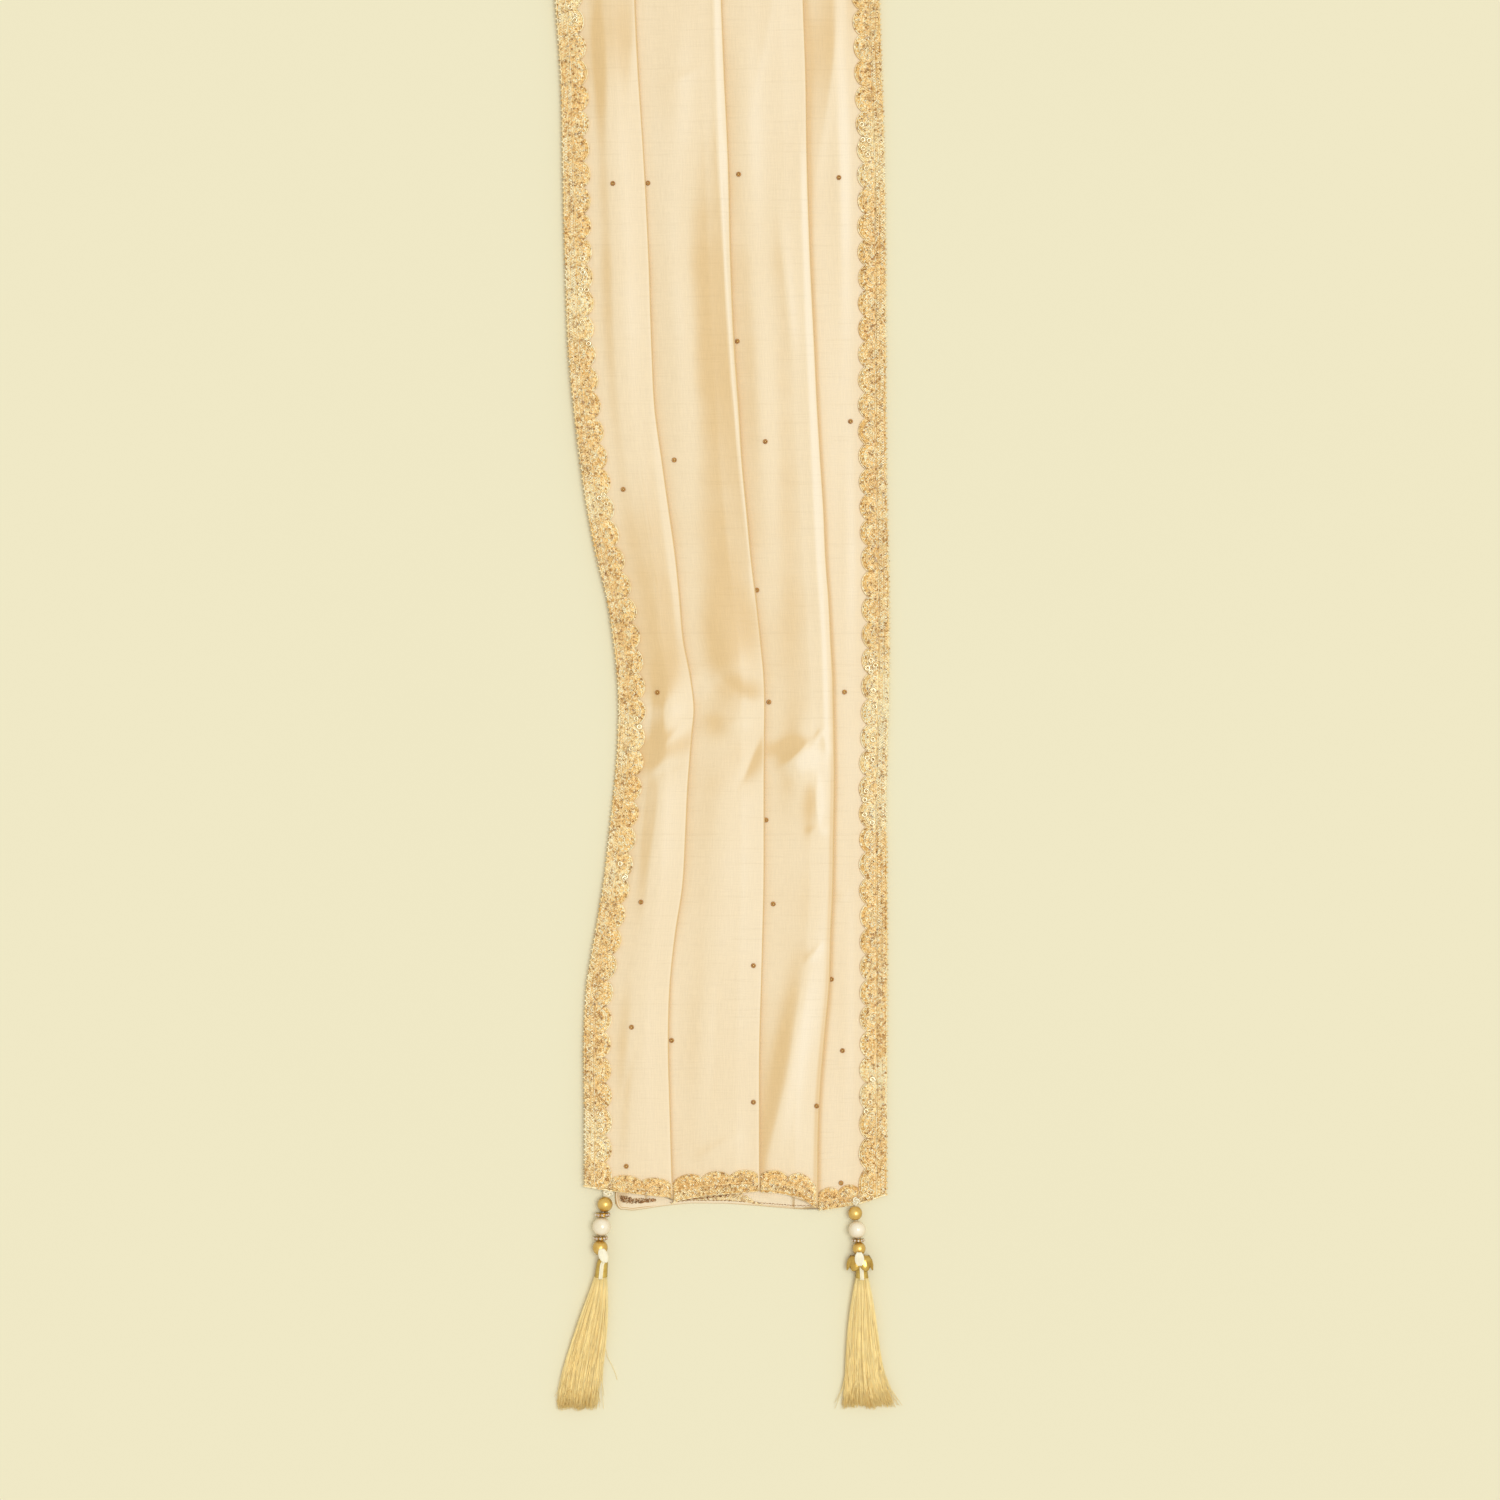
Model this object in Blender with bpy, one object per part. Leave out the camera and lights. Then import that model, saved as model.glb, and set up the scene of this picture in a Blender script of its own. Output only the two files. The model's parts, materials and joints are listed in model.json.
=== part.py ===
"""A silk stole folded lengthwise into four knife pleats, edged with lace and laid flat.

Two corner tassels hang from its near hem. The stole lies along Y with its near hem at -Y,
and the top pleat is at -X. The underside lies at Z = 0.
"""

import math
import random

import bmesh
import bpy
import numpy as np
from mathutils import Vector
from mathutils.geometry import tessellate_polygon

# Sizes are in millimetres, and new_object turns them into metres
MM = 0.001

# The cloth and how it is folded
LENGTH = 1995.0
NEAR_HEM_Y = -933.0
MIDDLE_X = 1.6
WALL = 1.0
GAP = 0.3
SLIT = 0.3
RETURN = 14.0
TUCK = 16.0
FOLD_RADIUS = (2.0 * WALL + SLIT) / 2.0
EASE = 20.0

# Heights of the hidden layers under pleats 1, 2 and 3, away from the folded edges
HIDDEN_HEIGHT = {1: 2.6, 2: 1.8, 3: 1.0}
HIDDEN_INSET = 19.5
STEP_CLEARANCE = 0.5

# The left pleat slopes down to the surface, which it meets this far from its outer edge
SLOPE_START = 9.0

# Outline: the outer edges and the three folded edges at distances from the near hem
SECTION_COLUMNS = ("along", "left", "fold_1", "fold_2", "fold_3", "right")
SECTIONS = (
    (0.0, -85.8, -31.8, 20.4, 55.2, 97.2),
    (45.0, -85.7, -33.2, 20.4, 56.1, 97.4),
    (90.0, -86.1, -34.2, 20.7, 59.6, 97.6),
    (120.0, -84.5, -33.2, 21.6, 62.3, 97.7),
    (150.0, -79.5, -30.1, 22.4, 63.2, 97.7),
    (180.0, -74.6, -25.6, 23.1, 64.5, 97.4),
    (210.0, -71.1, -23.9, 23.2, 64.9, 97.2),
    (240.0, -67.8, -22.5, 23.2, 65.4, 97.2),
    (270.0, -65.7, -20.1, 23.4, 65.2, 98.0),
    (285.0, -65.3, -18.8, 23.6, 64.9, 98.5),
    (303.0, -66.0, -20.6, 23.2, 64.6, 98.8),
    (327.0, -68.4, -25.2, 21.0, 63.3, 98.9),
    (351.0, -72.2, -27.3, 18.4, 62.1, 98.7),
    (375.0, -78.0, -29.7, 15.6, 60.3, 98.4),
    (405.0, -84.1, -33.9, 12.8, 59.0, 97.6),
    (435.0, -88.4, -38.1, 10.0, 57.1, 97.1),
    (465.0, -92.1, -42.2, 8.2, 55.3, 96.7),
    (501.0, -95.4, -44.1, 5.6, 53.6, 96.8),
    (555.0, -97.5, -45.9, 3.2, 51.0, 96.7),
    (615.0, -98.9, -48.9, 1.7, 49.0, 96.0),
    (669.0, -100.3, -52.3, -0.8, 48.1, 94.4),
    (711.0, -103.2, -54.3, -2.4, 46.6, 93.0),
    (790.0, -104.4, -55.5, -3.5, 46.0, 92.5),
    (900.0, -102.0, -54.0, -2.0, 47.5, 93.5),
    (1000.0, -98.6, -50.0, 1.5, 50.0, 95.5),
    (1110.0, -96.5, -46.5, 4.5, 52.5, 97.0),
    (1230.0, -98.0, -47.5, 4.0, 52.0, 96.5),
    (1350.0, -101.5, -51.5, 0.5, 49.5, 94.5),
    (1470.0, -103.0, -54.0, -2.5, 47.0, 93.0),
    (1590.0, -101.0, -52.5, -1.0, 48.0, 94.0),
    (1700.0, -97.0, -48.5, 3.0, 51.0, 96.0),
    (1810.0, -93.5, -43.5, 8.0, 54.0, 98.0),
    (1900.0, -91.0, -40.0, 12.0, 56.0, 98.5),
    (1995.0, -89.5, -38.0, 14.5, 57.0, 98.5),
)

# How far the hems of the layers stray from a straight line: x, then outward near and far
HEM_COLUMNS = ("x", "near", "far")
HEMS = {
    1: ((-85.8, 0.0, 0.0), (-66.6, 3.0, 1.0), (-32.4, 6.6, 2.5)),
    2: ((-36.0, 9.6, 1.5), (-11.4, 5.4, 2.0), (18.6, 3.0, 0.5)),
    3: ((18.6, 3.6, 3.0), (31.2, 4.2, 2.5), (45.0, 6.6, 1.0), (53.4, 12.6, 0.5)),
    4: ((55.8, 15.0, 3.5), (78.0, 11.4, 2.0), (96.0, 5.4, 0.0)),
    "hidden": (
        (-66.0, 12.0, 1.5), (-63.0, 14.4, 4.0), (-54.0, 15.0, 5.5), (-37.8, 10.8, 5.0),
        (-11.4, 7.8, 4.5), (4.8, 11.4, 5.0), (24.6, 12.6, 5.5), (53.4, 15.0, 4.5),
    ),
}
HEM_REACH = 70.0

# Broad ridges raised in the cloth; lean is sideways drift for each millimetre along
RIDGE_COLUMNS = ("pleat", "along", "x", "half_length", "half_width", "lean", "height")
RIDGES = (
    (1, 219.0, -44.0, 42.0, 12.0, 0.10, 0.7),
    (1, 287.0, -37.0, 26.0, 11.0, 0.25, 0.9),
    (1, 540.0, -66.0, 90.0, 10.0, -0.03, 0.6),
    (1, 670.0, -76.0, 60.0, 9.0, -0.05, 0.6),
    (1, 70.0, -58.0, 50.0, 10.0, 0.05, 0.5),
    (2, 520.0, -31.0, 110.0, 9.0, -0.05, 0.8),
    (2, 655.0, -30.0, 60.0, 9.0, -0.02, 0.6),
    (2, 316.0, 2.0, 30.0, 10.0, -0.20, 0.8),
    (2, 210.0, -5.0, 60.0, 12.0, 0.04, 0.6),
    (2, 90.0, -12.0, 60.0, 10.0, 0.05, 0.5),
    (3, 480.0, 20.0, 100.0, 8.0, -0.05, 0.7),
    (3, 255.0, 44.0, 28.0, 9.0, 0.10, 0.8),
    (3, 74.0, 38.0, 66.0, 8.0, 0.19, 0.9),
    (3, 640.0, 12.0, 70.0, 8.0, -0.03, 0.5),
    (4, 610.0, 70.0, 80.0, 7.0, -0.02, 0.6),
    (4, 400.0, 78.0, 70.0, 7.0, 0.02, 0.5),
    (4, 120.0, 78.0, 80.0, 7.0, 0.01, 0.5),
    (1, 880.0, -70.0, 100.0, 10.0, 0.03, 0.6),
    (1, 1160.0, -66.0, 110.0, 11.0, -0.02, 0.7),
    (1, 1450.0, -72.0, 100.0, 10.0, 0.03, 0.7),
    (1, 1740.0, -60.0, 100.0, 11.0, 0.05, 0.6),
    (2, 900.0, -26.0, 110.0, 10.0, 0.02, 0.7),
    (2, 1230.0, -18.0, 120.0, 10.0, -0.02, 0.7),
    (2, 1600.0, -24.0, 120.0, 10.0, 0.03, 0.7),
    (3, 860.0, 16.0, 100.0, 8.0, 0.02, 0.6),
    (3, 1150.0, 24.0, 110.0, 8.0, -0.02, 0.7),
    (3, 1480.0, 16.0, 110.0, 8.0, 0.02, 0.6),
    (3, 1800.0, 28.0, 100.0, 8.0, 0.03, 0.6),
    (4, 900.0, 70.0, 110.0, 7.0, 0.01, 0.5),
    (4, 1300.0, 73.0, 120.0, 7.0, -0.01, 0.5),
    (4, 1700.0, 74.0, 110.0, 7.0, 0.02, 0.5),
)
RIDGE_FADE = 10.0

# Rows of points along the stole: close where folds are short, wide apart on plain lengths
END_ROWS = (0.0, 5.0, 14.0)
NEAR_ROW_STEP = 28.0
NEAR_ROWS_TO = 715.0
FAR_ROW_STEP = 98.0

# Lace: a raised braid along its outer edge and scallops along its inner edge
LACE_WIDTH = 17.4
LACE_WALL = 1.0
BRAID_WIDTH = 7.0
BRAID_HEIGHT = 0.4
GROOVE = 0.6
CLOTH_INSET = 1.5
SCALLOP_PITCH = 15.3
SCALLOP_DEPTH = 4.4
SCALLOP_POINTS = 3
FAR_SCALLOP_POINTS = 2
LACE_CORNER_GAP = 0.4

# Lace along the hems: which pleat, its width there, and its whole scallops
HEM_LACE_COLUMNS = ("pleat", "near_width", "far_width", "scallops")
HEM_LACE = (
    (1, 9.6, 13.0, 2),
    (2, 12.6, 13.0, 3),
    (3, 12.6, 13.0, 2),
    (4, 9.8, 13.0, 2),
)
HEM_OVERHANG = 0.8
HEM_BRAID_WIDTH = 4.0
HEM_SCALLOP_DEPTH = 3.0

# Beads of the two tassels along their threads: centre x and along, radius, half length
BEAD_COLUMNS = ("name", "shape", "x", "along", "radius", "half_length", "z")
BEADS = (
    ("left_knot", "knot", -71.0, -5.2, 3.6, 1.4, 2.2),
    ("left_gold_pearl_1", "pearl", -72.6, -11.5, 4.6, 4.6, 4.7),
    ("left_rondelle_1", "rondelle", -74.0, -17.6, 4.6, 1.2, 4.9),
    ("left_white_pearl", "pearl", -74.6, -24.7, 5.6, 5.6, 5.7),
    ("left_rondelle_2", "rondelle", -75.2, -31.6, 4.4, 1.0, 5.2),
    ("left_gold_pearl_2", "pearl", -75.5, -37.5, 4.6, 4.6, 4.8),
    ("right_knot", "knot", 78.0, -9.6, 2.4, 1.6, 4.2),
    ("right_gold_pearl_1", "pearl", 77.5, -16.9, 4.3, 4.3, 4.5),
    ("right_white_pearl", "pearl", 78.6, -26.6, 5.2, 5.2, 5.3),
    ("right_rondelle", "rondelle", 79.3, -32.9, 4.0, 0.8, 5.0),
    ("right_gold_pearl_2", "pearl", 79.8, -38.0, 4.0, 4.0, 4.8),
)
PEARL_SIDES = 12
PEARL_RINGS = 6
KNOT_SQUASH = 0.45

# Silk loops that lie over the lowest pearl and the top of the neck
LOOP_COLUMNS = ("name", "x", "along", "z", "half_width", "half_length", "drop")
LOOPS = (
    ("left_loop", -73.4, -41.6, 8.95, 2.4, 2.5, 0.75),
    ("right_loop", 79.9, -43.6, 9.45, 2.3, 2.4, -0.5),
)
LOOP_CORD_RADIUS = 0.75
LOOP_SIDES = 12
LOOP_CORD_SIDES = 5

# Bell cap between the right tassel's lowest pearl and its neck
CAP_X = 80.3
CAP_ALONG = -42.3
CAP_Z = 4.8
CAP_SQUASH = 0.58
CAP_LOBES = 6
CAP_SIDES = 24
CAP_PROFILE = (
    (0.0, 1.2), (-0.2, 3.4), (-2.4, 6.3), (-6.4, 7.8),
    (-6.3, 7.0), (-2.9, 5.6), (-0.9, 3.1), (-0.8, 1.2),
)
CAP_RIM_ROWS = (3, 4)
CAP_RIM_CUT = 2.6

# Tassels: neck from its top down, then the skirt as sections of all its strands together
SKIRT_COLUMNS = ("along", "x", "half_width", "z", "half_height")
SKIRTS = {
    "left": (
        (-42.5, -73.6, 1.3, 4.7, 1.3),
        (-44.6, -73.9, 2.7, 4.7, 2.7),
        (-46.6, -74.2, 3.4, 4.6, 3.4),
        (-55.2, -75.1, 3.9, 4.3, 3.5),
        (-70.0, -77.6, 7.2, 4.0, 3.4),
        (-98.0, -83.4, 11.4, 3.4, 2.8),
        (-134.5, -89.4, 12.4, 2.5, 1.9),
    ),
    "right": (
        (-43.5, 80.6, 1.3, 4.8, 1.3),
        (-45.5, 80.8, 2.7, 4.8, 2.7),
        (-47.5, 81.0, 3.3, 4.7, 3.3),
        (-55.6, 81.6, 3.9, 4.3, 3.5),
        (-72.0, 81.8, 7.4, 4.0, 3.4),
        (-100.0, 82.4, 10.8, 3.4, 2.8),
        (-133.5, 85.6, 16.4, 2.5, 1.9),
    ),
}
NECK_ROWS = 4
STRANDS_ACROSS = 12
STRANDS_HIGH = 5
STRAND_FILL = (0.55, 0.62, 0.62, 0.42)
STRAND_RAGGED = 0.05
STRAND_WANDER = 0.12

# Finishes: base colour, roughness, metallic
FINISHES = {
    "silk": ((0.90, 0.70, 0.43), 0.45, 0.0),
    "lace": ((0.74, 0.50, 0.22), 0.42, 0.6),
    "gold_bead": ((0.66, 0.38, 0.06), 0.22, 0.9),
    "white_pearl": ((0.92, 0.88, 0.78), 0.2, 0.0),
    "crystal": ((0.80, 0.66, 0.42), 0.15, 0.5),
    "tassel_silk": ((0.87, 0.70, 0.33), 0.5, 0.0),
}


def clear_scene():
    for item in list(bpy.data.objects):
        bpy.data.objects.remove(item, do_unlink=True)


def finish(name):
    """The material of one finish, made the first time it is asked for."""
    if name in bpy.data.materials:
        return bpy.data.materials[name]
    colour, roughness, metallic = FINISHES[name]
    material = bpy.data.materials.new(name)
    material.use_nodes = True
    shader = material.node_tree.nodes["Principled BSDF"]
    shader.inputs["Base Color"].default_value = (*colour, 1.0)
    shader.inputs["Roughness"].default_value = roughness
    shader.inputs["Metallic"].default_value = metallic
    return material


def new_object(name, points, faces, finish_name):
    """A closed mesh from points in millimetres measured from the near hem's middle."""
    mesh = bpy.data.meshes.new(name)
    placed = [((x + MIDDLE_X) * MM, (along + NEAR_HEM_Y) * MM, z * MM) for x, along, z in points]
    mesh.from_pydata(placed, [], faces)
    work = bmesh.new()
    work.from_mesh(mesh)
    bmesh.ops.recalc_face_normals(work, faces=work.faces)
    work.to_mesh(mesh)
    work.free()
    mesh.shade_smooth()
    mesh.set_sharp_from_angle(angle=math.radians(40.0))
    mesh.materials.append(finish(finish_name))
    item = bpy.data.objects.new(name, mesh)
    bpy.context.collection.objects.link(item)
    return item


def smooth_step(t):
    t = min(max(t, 0.0), 1.0)
    return t * t * (3.0 - 2.0 * t)


def outline(column, along):
    """Smooth curve through one column of SECTIONS."""
    table = np.array(SECTIONS)
    knots = table[:, 0]
    values = table[:, SECTION_COLUMNS.index(column)]
    slopes = np.gradient(values, knots)
    k = int(np.clip(np.searchsorted(knots, along) - 1, 0, len(knots) - 2))
    span = knots[k + 1] - knots[k]
    t = (along - knots[k]) / span
    ends = values[k] * (1 - t) ** 2 * (1 + 2 * t) + values[k + 1] * t * t * (3 - 2 * t)
    return float(ends + span * (slopes[k] * t * (1 - t) ** 2 - slopes[k + 1] * t * t * (1 - t)))


def hem_offset(layer, x, along):
    """How far a point near a hem is pushed outward along the stole, with its sign."""
    table = np.array(HEMS[layer])
    near_fade = max(0.0, 1.0 - along / HEM_REACH) ** 2
    far_fade = max(0.0, 1.0 - (LENGTH - along) / HEM_REACH) ** 2
    near = np.interp(x, table[:, 0], table[:, 1])
    far = np.interp(x, table[:, 0], table[:, 2])
    return float(far * far_fade - near * near_fade)


def ridges(pleat, x, along):
    """Height that the broad ridges add; they die out before the side laces."""
    total = 0.0
    for number, middle, centre, half_length, half_width, lean, height in RIDGES:
        if number != pleat:
            continue
        down = (along - middle) / half_length
        across = (x - centre - lean * (along - middle)) / half_width
        total += height * math.exp(-down * down - across * across)
    if pleat == 1:
        total *= smooth_step((x - outline("left", along) - HIDDEN_INSET) / RIDGE_FADE)
    if pleat == 4:
        total *= smooth_step((outline("right", along) - HIDDEN_INSET - x) / RIDGE_FADE)
    return total


def pleat_height(pleat, x, along):
    """Top of a pleat's wall without its own ridges."""
    if pleat == 4:
        return WALL
    fold = outline(f"fold_{pleat}", along)
    lies_on = max(x, fold - RETURN)
    doubled = cloth_top(pleat + 1, lies_on, along) + GAP + 2.0 * WALL + SLIT
    settled = HIDDEN_HEIGHT[pleat] + GAP + WALL
    height = doubled + (settled - doubled) * smooth_step((fold - RETURN - x) / EASE)
    if pleat == 1:
        foot = outline("left", along) + SLOPE_START
        rise = smooth_step((x - foot) / (fold - TUCK - STEP_CLEARANCE - foot))
        height = WALL + (height - WALL) * rise
    return height


def cloth_top(pleat, x, along):
    return pleat_height(pleat, x, along) + ridges(pleat, x, along)


def pleat_columns(pleat, along):
    """Where the points of a pleat's section lie across the stole."""
    left = outline("left", along)
    right = outline("right", along)
    folds = {n: outline(f"fold_{n}", along) for n in (1, 2, 3)}
    if pleat == 1:
        step = folds[1] - TUCK - STEP_CLEARANCE
        inner = left + HIDDEN_INSET
        start = [left + CLOTH_INSET, left + SLOPE_START, inner, (inner + step) / 2.0, step]
    elif pleat in (2, 3):
        above = folds[pleat - 1]
        step = folds[pleat] - TUCK - STEP_CLEARANCE
        parts = 3 if pleat == 2 else 2
        between = [above + (step - above) * n / parts for n in range(1, parts)]
        start = [above - TUCK, above - RETURN, above, *between, step]
    else:
        first = folds[3] - RETURN - GAP
        inner = right - HIDDEN_INSET
        middle = (folds[3] + inner) / 2.0
        return [first, folds[3], middle, inner, right - SLOPE_START, right - CLOTH_INSET]
    return [*start, folds[pleat] - RETURN, folds[pleat] - FOLD_RADIUS]


def row_places():
    """Distances from the near hem at which sections are taken."""
    near = np.arange(END_ROWS[-1] + NEAR_ROW_STEP / 2.0, NEAR_ROWS_TO, NEAR_ROW_STEP)
    last = LENGTH - END_ROWS[-1]
    count = int(round((last - NEAR_ROWS_TO) / FAR_ROW_STEP))
    far = np.linspace(NEAR_ROWS_TO, last, count + 1)
    ends = [LENGTH - place for place in reversed(END_ROWS[:-1])]
    return [*END_ROWS, *near.tolist(), *far.tolist(), *ends]


def folded_section(pleat, along):
    """A wall that turns under itself at its right edge, as one loop of points."""
    columns = pleat_columns(pleat, along)
    fold = columns[-1]
    top = [(x, cloth_top(pleat, x, along)) for x in columns]
    under = [(x, pleat_height(pleat, x, along) - WALL) for x in columns]
    crown = under[-1][1] + WALL
    edge = []
    for angle in (45.0, 0.0, -45.0):
        turn = math.radians(angle)
        out = FOLD_RADIUS * math.cos(turn)
        up = FOLD_RADIUS * math.sin(turn) - FOLD_RADIUS
        edge.append((fold + out, crown + up))
    low = [(x, z - SLIT - WALL) for x, z in under[-2:]]
    high = [(x, z - SLIT) for x, z in under[-2:]]
    return top + edge + low[::-1] + high + under[::-1]


def flat_section(along):
    """The lowest pleat: a wall with a flat underside."""
    columns = pleat_columns(4, along)
    top = [(x, cloth_top(4, x, along)) for x in columns]
    return top + [(columns[-1], 0.0), (columns[0], 0.0)]


def hidden_section(along, scale):
    """The layers that lie out of sight, stepped up to carry each pleat above them."""
    loop = []
    for pleat in (1, 2, 3):
        columns = pleat_columns(pleat, along)
        if pleat == 1:
            used = columns[2:-2]
        else:
            used = [columns[0] - STEP_CLEARANCE, *columns[2:-2]]
        if pleat == 3:
            used = [*used[:-1], columns[-2] - 2.0 * STEP_CLEARANCE]
        for x in used:
            top = pleat_height(pleat, x, along) - WALL - GAP
            loop.append((x, max(top * scale, GAP)))
    return loop + [(loop[-1][0], 0.0), (loop[0][0], 0.0)]


def loft(name, layer, rows, finish_name):
    """Join sections of equal length into one closed body with flat triangulated ends."""
    size = len(rows[0][1])
    points = []
    for along, section in rows:
        points += [(x, along + hem_offset(layer, x, along), z) for x, z in section]
    faces = []
    for row in range(len(rows) - 1):
        base = row * size
        for k in range(size):
            after = (k + 1) % size
            faces.append((base + k, base + after, base + size + after, base + size + k))
    for row, base in ((0, 0), (-1, (len(rows) - 1) * size)):
        flat = [Vector((x, z, 0.0)) for x, z in rows[row][1]]
        faces += [tuple(base + k for k in face) for face in tessellate_polygon([flat])]
    return new_object(name, points, faces, finish_name)


def make_pleats():
    for pleat in (1, 2, 3, 4):
        rows = []
        for along in row_places():
            section = flat_section(along) if pleat == 4 else folded_section(pleat, along)
            rows.append((along, section))
        loft(f"pleat_{pleat}", pleat, rows, "silk")


def make_hidden_layers():
    """Each hem of the hidden layers comes down in ledges, one for each pair of layers."""
    ledges = ((0.0, 0.40), (3.4, 0.42), (3.7, 0.70), (8.0, 0.72), (8.3, 1.0))
    inner = [place for place in row_places() if 8.3 < place < LENGTH - 8.3]
    rows = [(place, hidden_section(place, scale)) for place, scale in ledges]
    rows += [(place, hidden_section(place, 1.0)) for place in inner]
    for place, scale in reversed(ledges):
        rows.append((LENGTH - place, hidden_section(LENGTH - place, scale)))
    loft("hidden_layers", "hidden", rows, "silk")


def on_cloth(pleat, along, x_at):
    """A point on the faces of a pleat's top; x_at gives x from a row's own columns."""
    rows = row_places()
    k = int(np.clip(np.searchsorted(rows, along) - 1, 0, len(rows) - 2))
    t = (along - rows[k]) / (rows[k + 1] - rows[k])
    ends = []
    for row in (rows[k], rows[k + 1]):
        columns = pleat_columns(pleat, row)
        x = x_at(columns)
        heights = [cloth_top(pleat, column, row) for column in columns]
        placed = [row + hem_offset(pleat, column, row) for column in columns]
        ends.append((x, np.interp(x, columns, placed), np.interp(x, columns, heights)))
    return tuple(a + (b - a) * t for a, b in zip(*ends))


def zip_chains(first, second, order):
    """Triangles between two chains of point numbers; order gives places along them."""
    faces = []
    a = 0
    b = 0
    while a < len(first) - 1 or b < len(second) - 1:
        next_a = order[first[a + 1]] if a < len(first) - 1 else math.inf
        next_b = order[second[b + 1]] if b < len(second) - 1 else math.inf
        if next_a <= next_b:
            faces.append((first[a], first[a + 1], second[b]))
            a += 1
        else:
            faces.append((first[a], second[b + 1], second[b]))
            b += 1
    return faces


def lace_strip(name, outer, groove, ledge, inner):
    """A flat lace with a raised braid, from four chains of (place, point) on the cloth."""
    points = []
    order = {}

    def chain(line, lift):
        numbers = []
        for place, (x, along, z) in line:
            order[len(points)] = place
            numbers.append(len(points))
            points.append((x, along, z + lift))
        return numbers

    low = GAP
    top = GAP + LACE_WALL
    crown = top + BRAID_HEIGHT
    loops = [
        chain(outer, low), chain(outer, crown), chain(groove, crown),
        chain(ledge, top), chain(inner, top), chain(inner, low),
    ]
    faces = []
    for k, line in enumerate(loops):
        faces += zip_chains(line, loops[(k + 1) % len(loops)], order)
    for end in (0, -1):
        ring = [line[end] for line in loops]
        faces += [(ring[0], ring[1], ring[2]), (ring[0], ring[2], ring[3])]
        faces += [(ring[0], ring[3], ring[4]), (ring[0], ring[4], ring[5])]
    return new_object(name, points, faces, "lace")


def scallop(t, depth):
    """Distance that the lace's inner edge draws back at t scallops along it."""
    return depth * (1.0 - abs(math.sin(math.pi * t)))


def make_side_lace(name, pleat, side):
    """Lace along a long edge, lying on the outer pleat's own points."""
    places = row_places()
    edge = 0 if side > 0 else -1

    def line(inset):
        shift = side * (inset - CLOTH_INSET)
        return [(p, on_cloth(pleat, p, lambda c: c[edge] + shift)) for p in places]

    count = round(LENGTH / SCALLOP_PITCH)
    near_count = round(NEAR_ROWS_TO / SCALLOP_PITCH)
    steps = [n / SCALLOP_POINTS for n in range(near_count * SCALLOP_POINTS)]
    far_steps = (count - near_count) * FAR_SCALLOP_POINTS
    steps += [near_count + n / FAR_SCALLOP_POINTS for n in range(far_steps + 1)]
    inner = []
    for t in steps:
        place = LENGTH * t / count
        shift = side * (LACE_WIDTH - scallop(t, SCALLOP_DEPTH) - CLOTH_INSET)
        inner.append((place, on_cloth(pleat, place, lambda c: c[edge] + shift)))
    lace_strip(name, line(0.0), line(BRAID_WIDTH), line(BRAID_WIDTH + GROOVE), inner)


def make_hem_lace(name, pleat, width, scallops, far):
    """Lace along one hem of one pleat, from the piece above it to its folded edge."""
    places = row_places()
    row = places[-1] if far else places[0]
    columns = pleat_columns(pleat, row)
    if pleat == 1:
        start = columns[0] - CLOTH_INSET + LACE_WIDTH + LACE_CORNER_GAP
    else:
        start = outline(f"fold_{pleat - 1}", row) + LACE_CORNER_GAP
    end = columns[-1]
    if pleat == 4:
        end = columns[-1] + CLOTH_INSET - LACE_WIDTH - LACE_CORNER_GAP

    def point(t, depth):
        away = LENGTH - depth if far else depth
        x, along, z = on_cloth(pleat, away, lambda c: start + (end - start) * t)
        return t, (x, along, z)

    marks = [(c - start) / (end - start) for c in columns if start < c < end]
    marks = [0.0, *marks, 1.0]
    outer = [(t, (x, y + HEM_OVERHANG * (1 if far else -1), z)) for t, (x, y, z) in
             (point(t, 0.0) for t in marks)]
    groove = [point(t, HEM_BRAID_WIDTH) for t in marks]
    ledge = [point(t, HEM_BRAID_WIDTH + GROOVE) for t in marks]
    inner = []
    for n in range(scallops * (SCALLOP_POINTS + 1) + 1):
        t = n / (SCALLOP_POINTS + 1)
        inner.append(point(t / scallops, width - scallop(t, HEM_SCALLOP_DEPTH)))
    lace_strip(name, outer, groove, ledge, inner)


def make_lace():
    make_side_lace("lace_left", 1, 1.0)
    make_side_lace("lace_right", 4, -1.0)
    for pleat, near_width, far_width, scallops in HEM_LACE:
        make_hem_lace(f"hem_lace_{pleat}", pleat, near_width, scallops, False)
        make_hem_lace(f"far_lace_{pleat}", pleat, far_width, scallops, True)


def turned(name, centre, profile, squash, sides, finish_name):
    """A body of revolution about its thread; the profile's two end radii are nothing."""
    x0, along0, z0 = centre
    points = [(x0, along0 + profile[0][0], z0)]
    for offset, radius in profile[1:-1]:
        for k in range(sides):
            turn = 2.0 * math.pi * k / sides
            x = x0 + radius * math.cos(turn)
            points.append((x, along0 + offset, z0 + radius * squash * math.sin(turn)))
    points.append((x0, along0 + profile[-1][0], z0))
    faces = []
    rings = len(profile) - 2
    for k in range(sides):
        after = (k + 1) % sides
        faces.append((0, 1 + k, 1 + after))
        for ring in range(rings - 1):
            base = 1 + ring * sides
            faces.append((base + k, base + sides + k, base + sides + after, base + after))
        base = 1 + (rings - 1) * sides
        faces.append((base + k, len(points) - 1, base + after))
    return new_object(name, points, faces, finish_name)


def ball_profile(radius, half_length):
    turns = [math.pi * k / PEARL_RINGS for k in range(PEARL_RINGS + 1)]
    return [(half_length * math.cos(a), radius * math.sin(a)) for a in turns]


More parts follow.
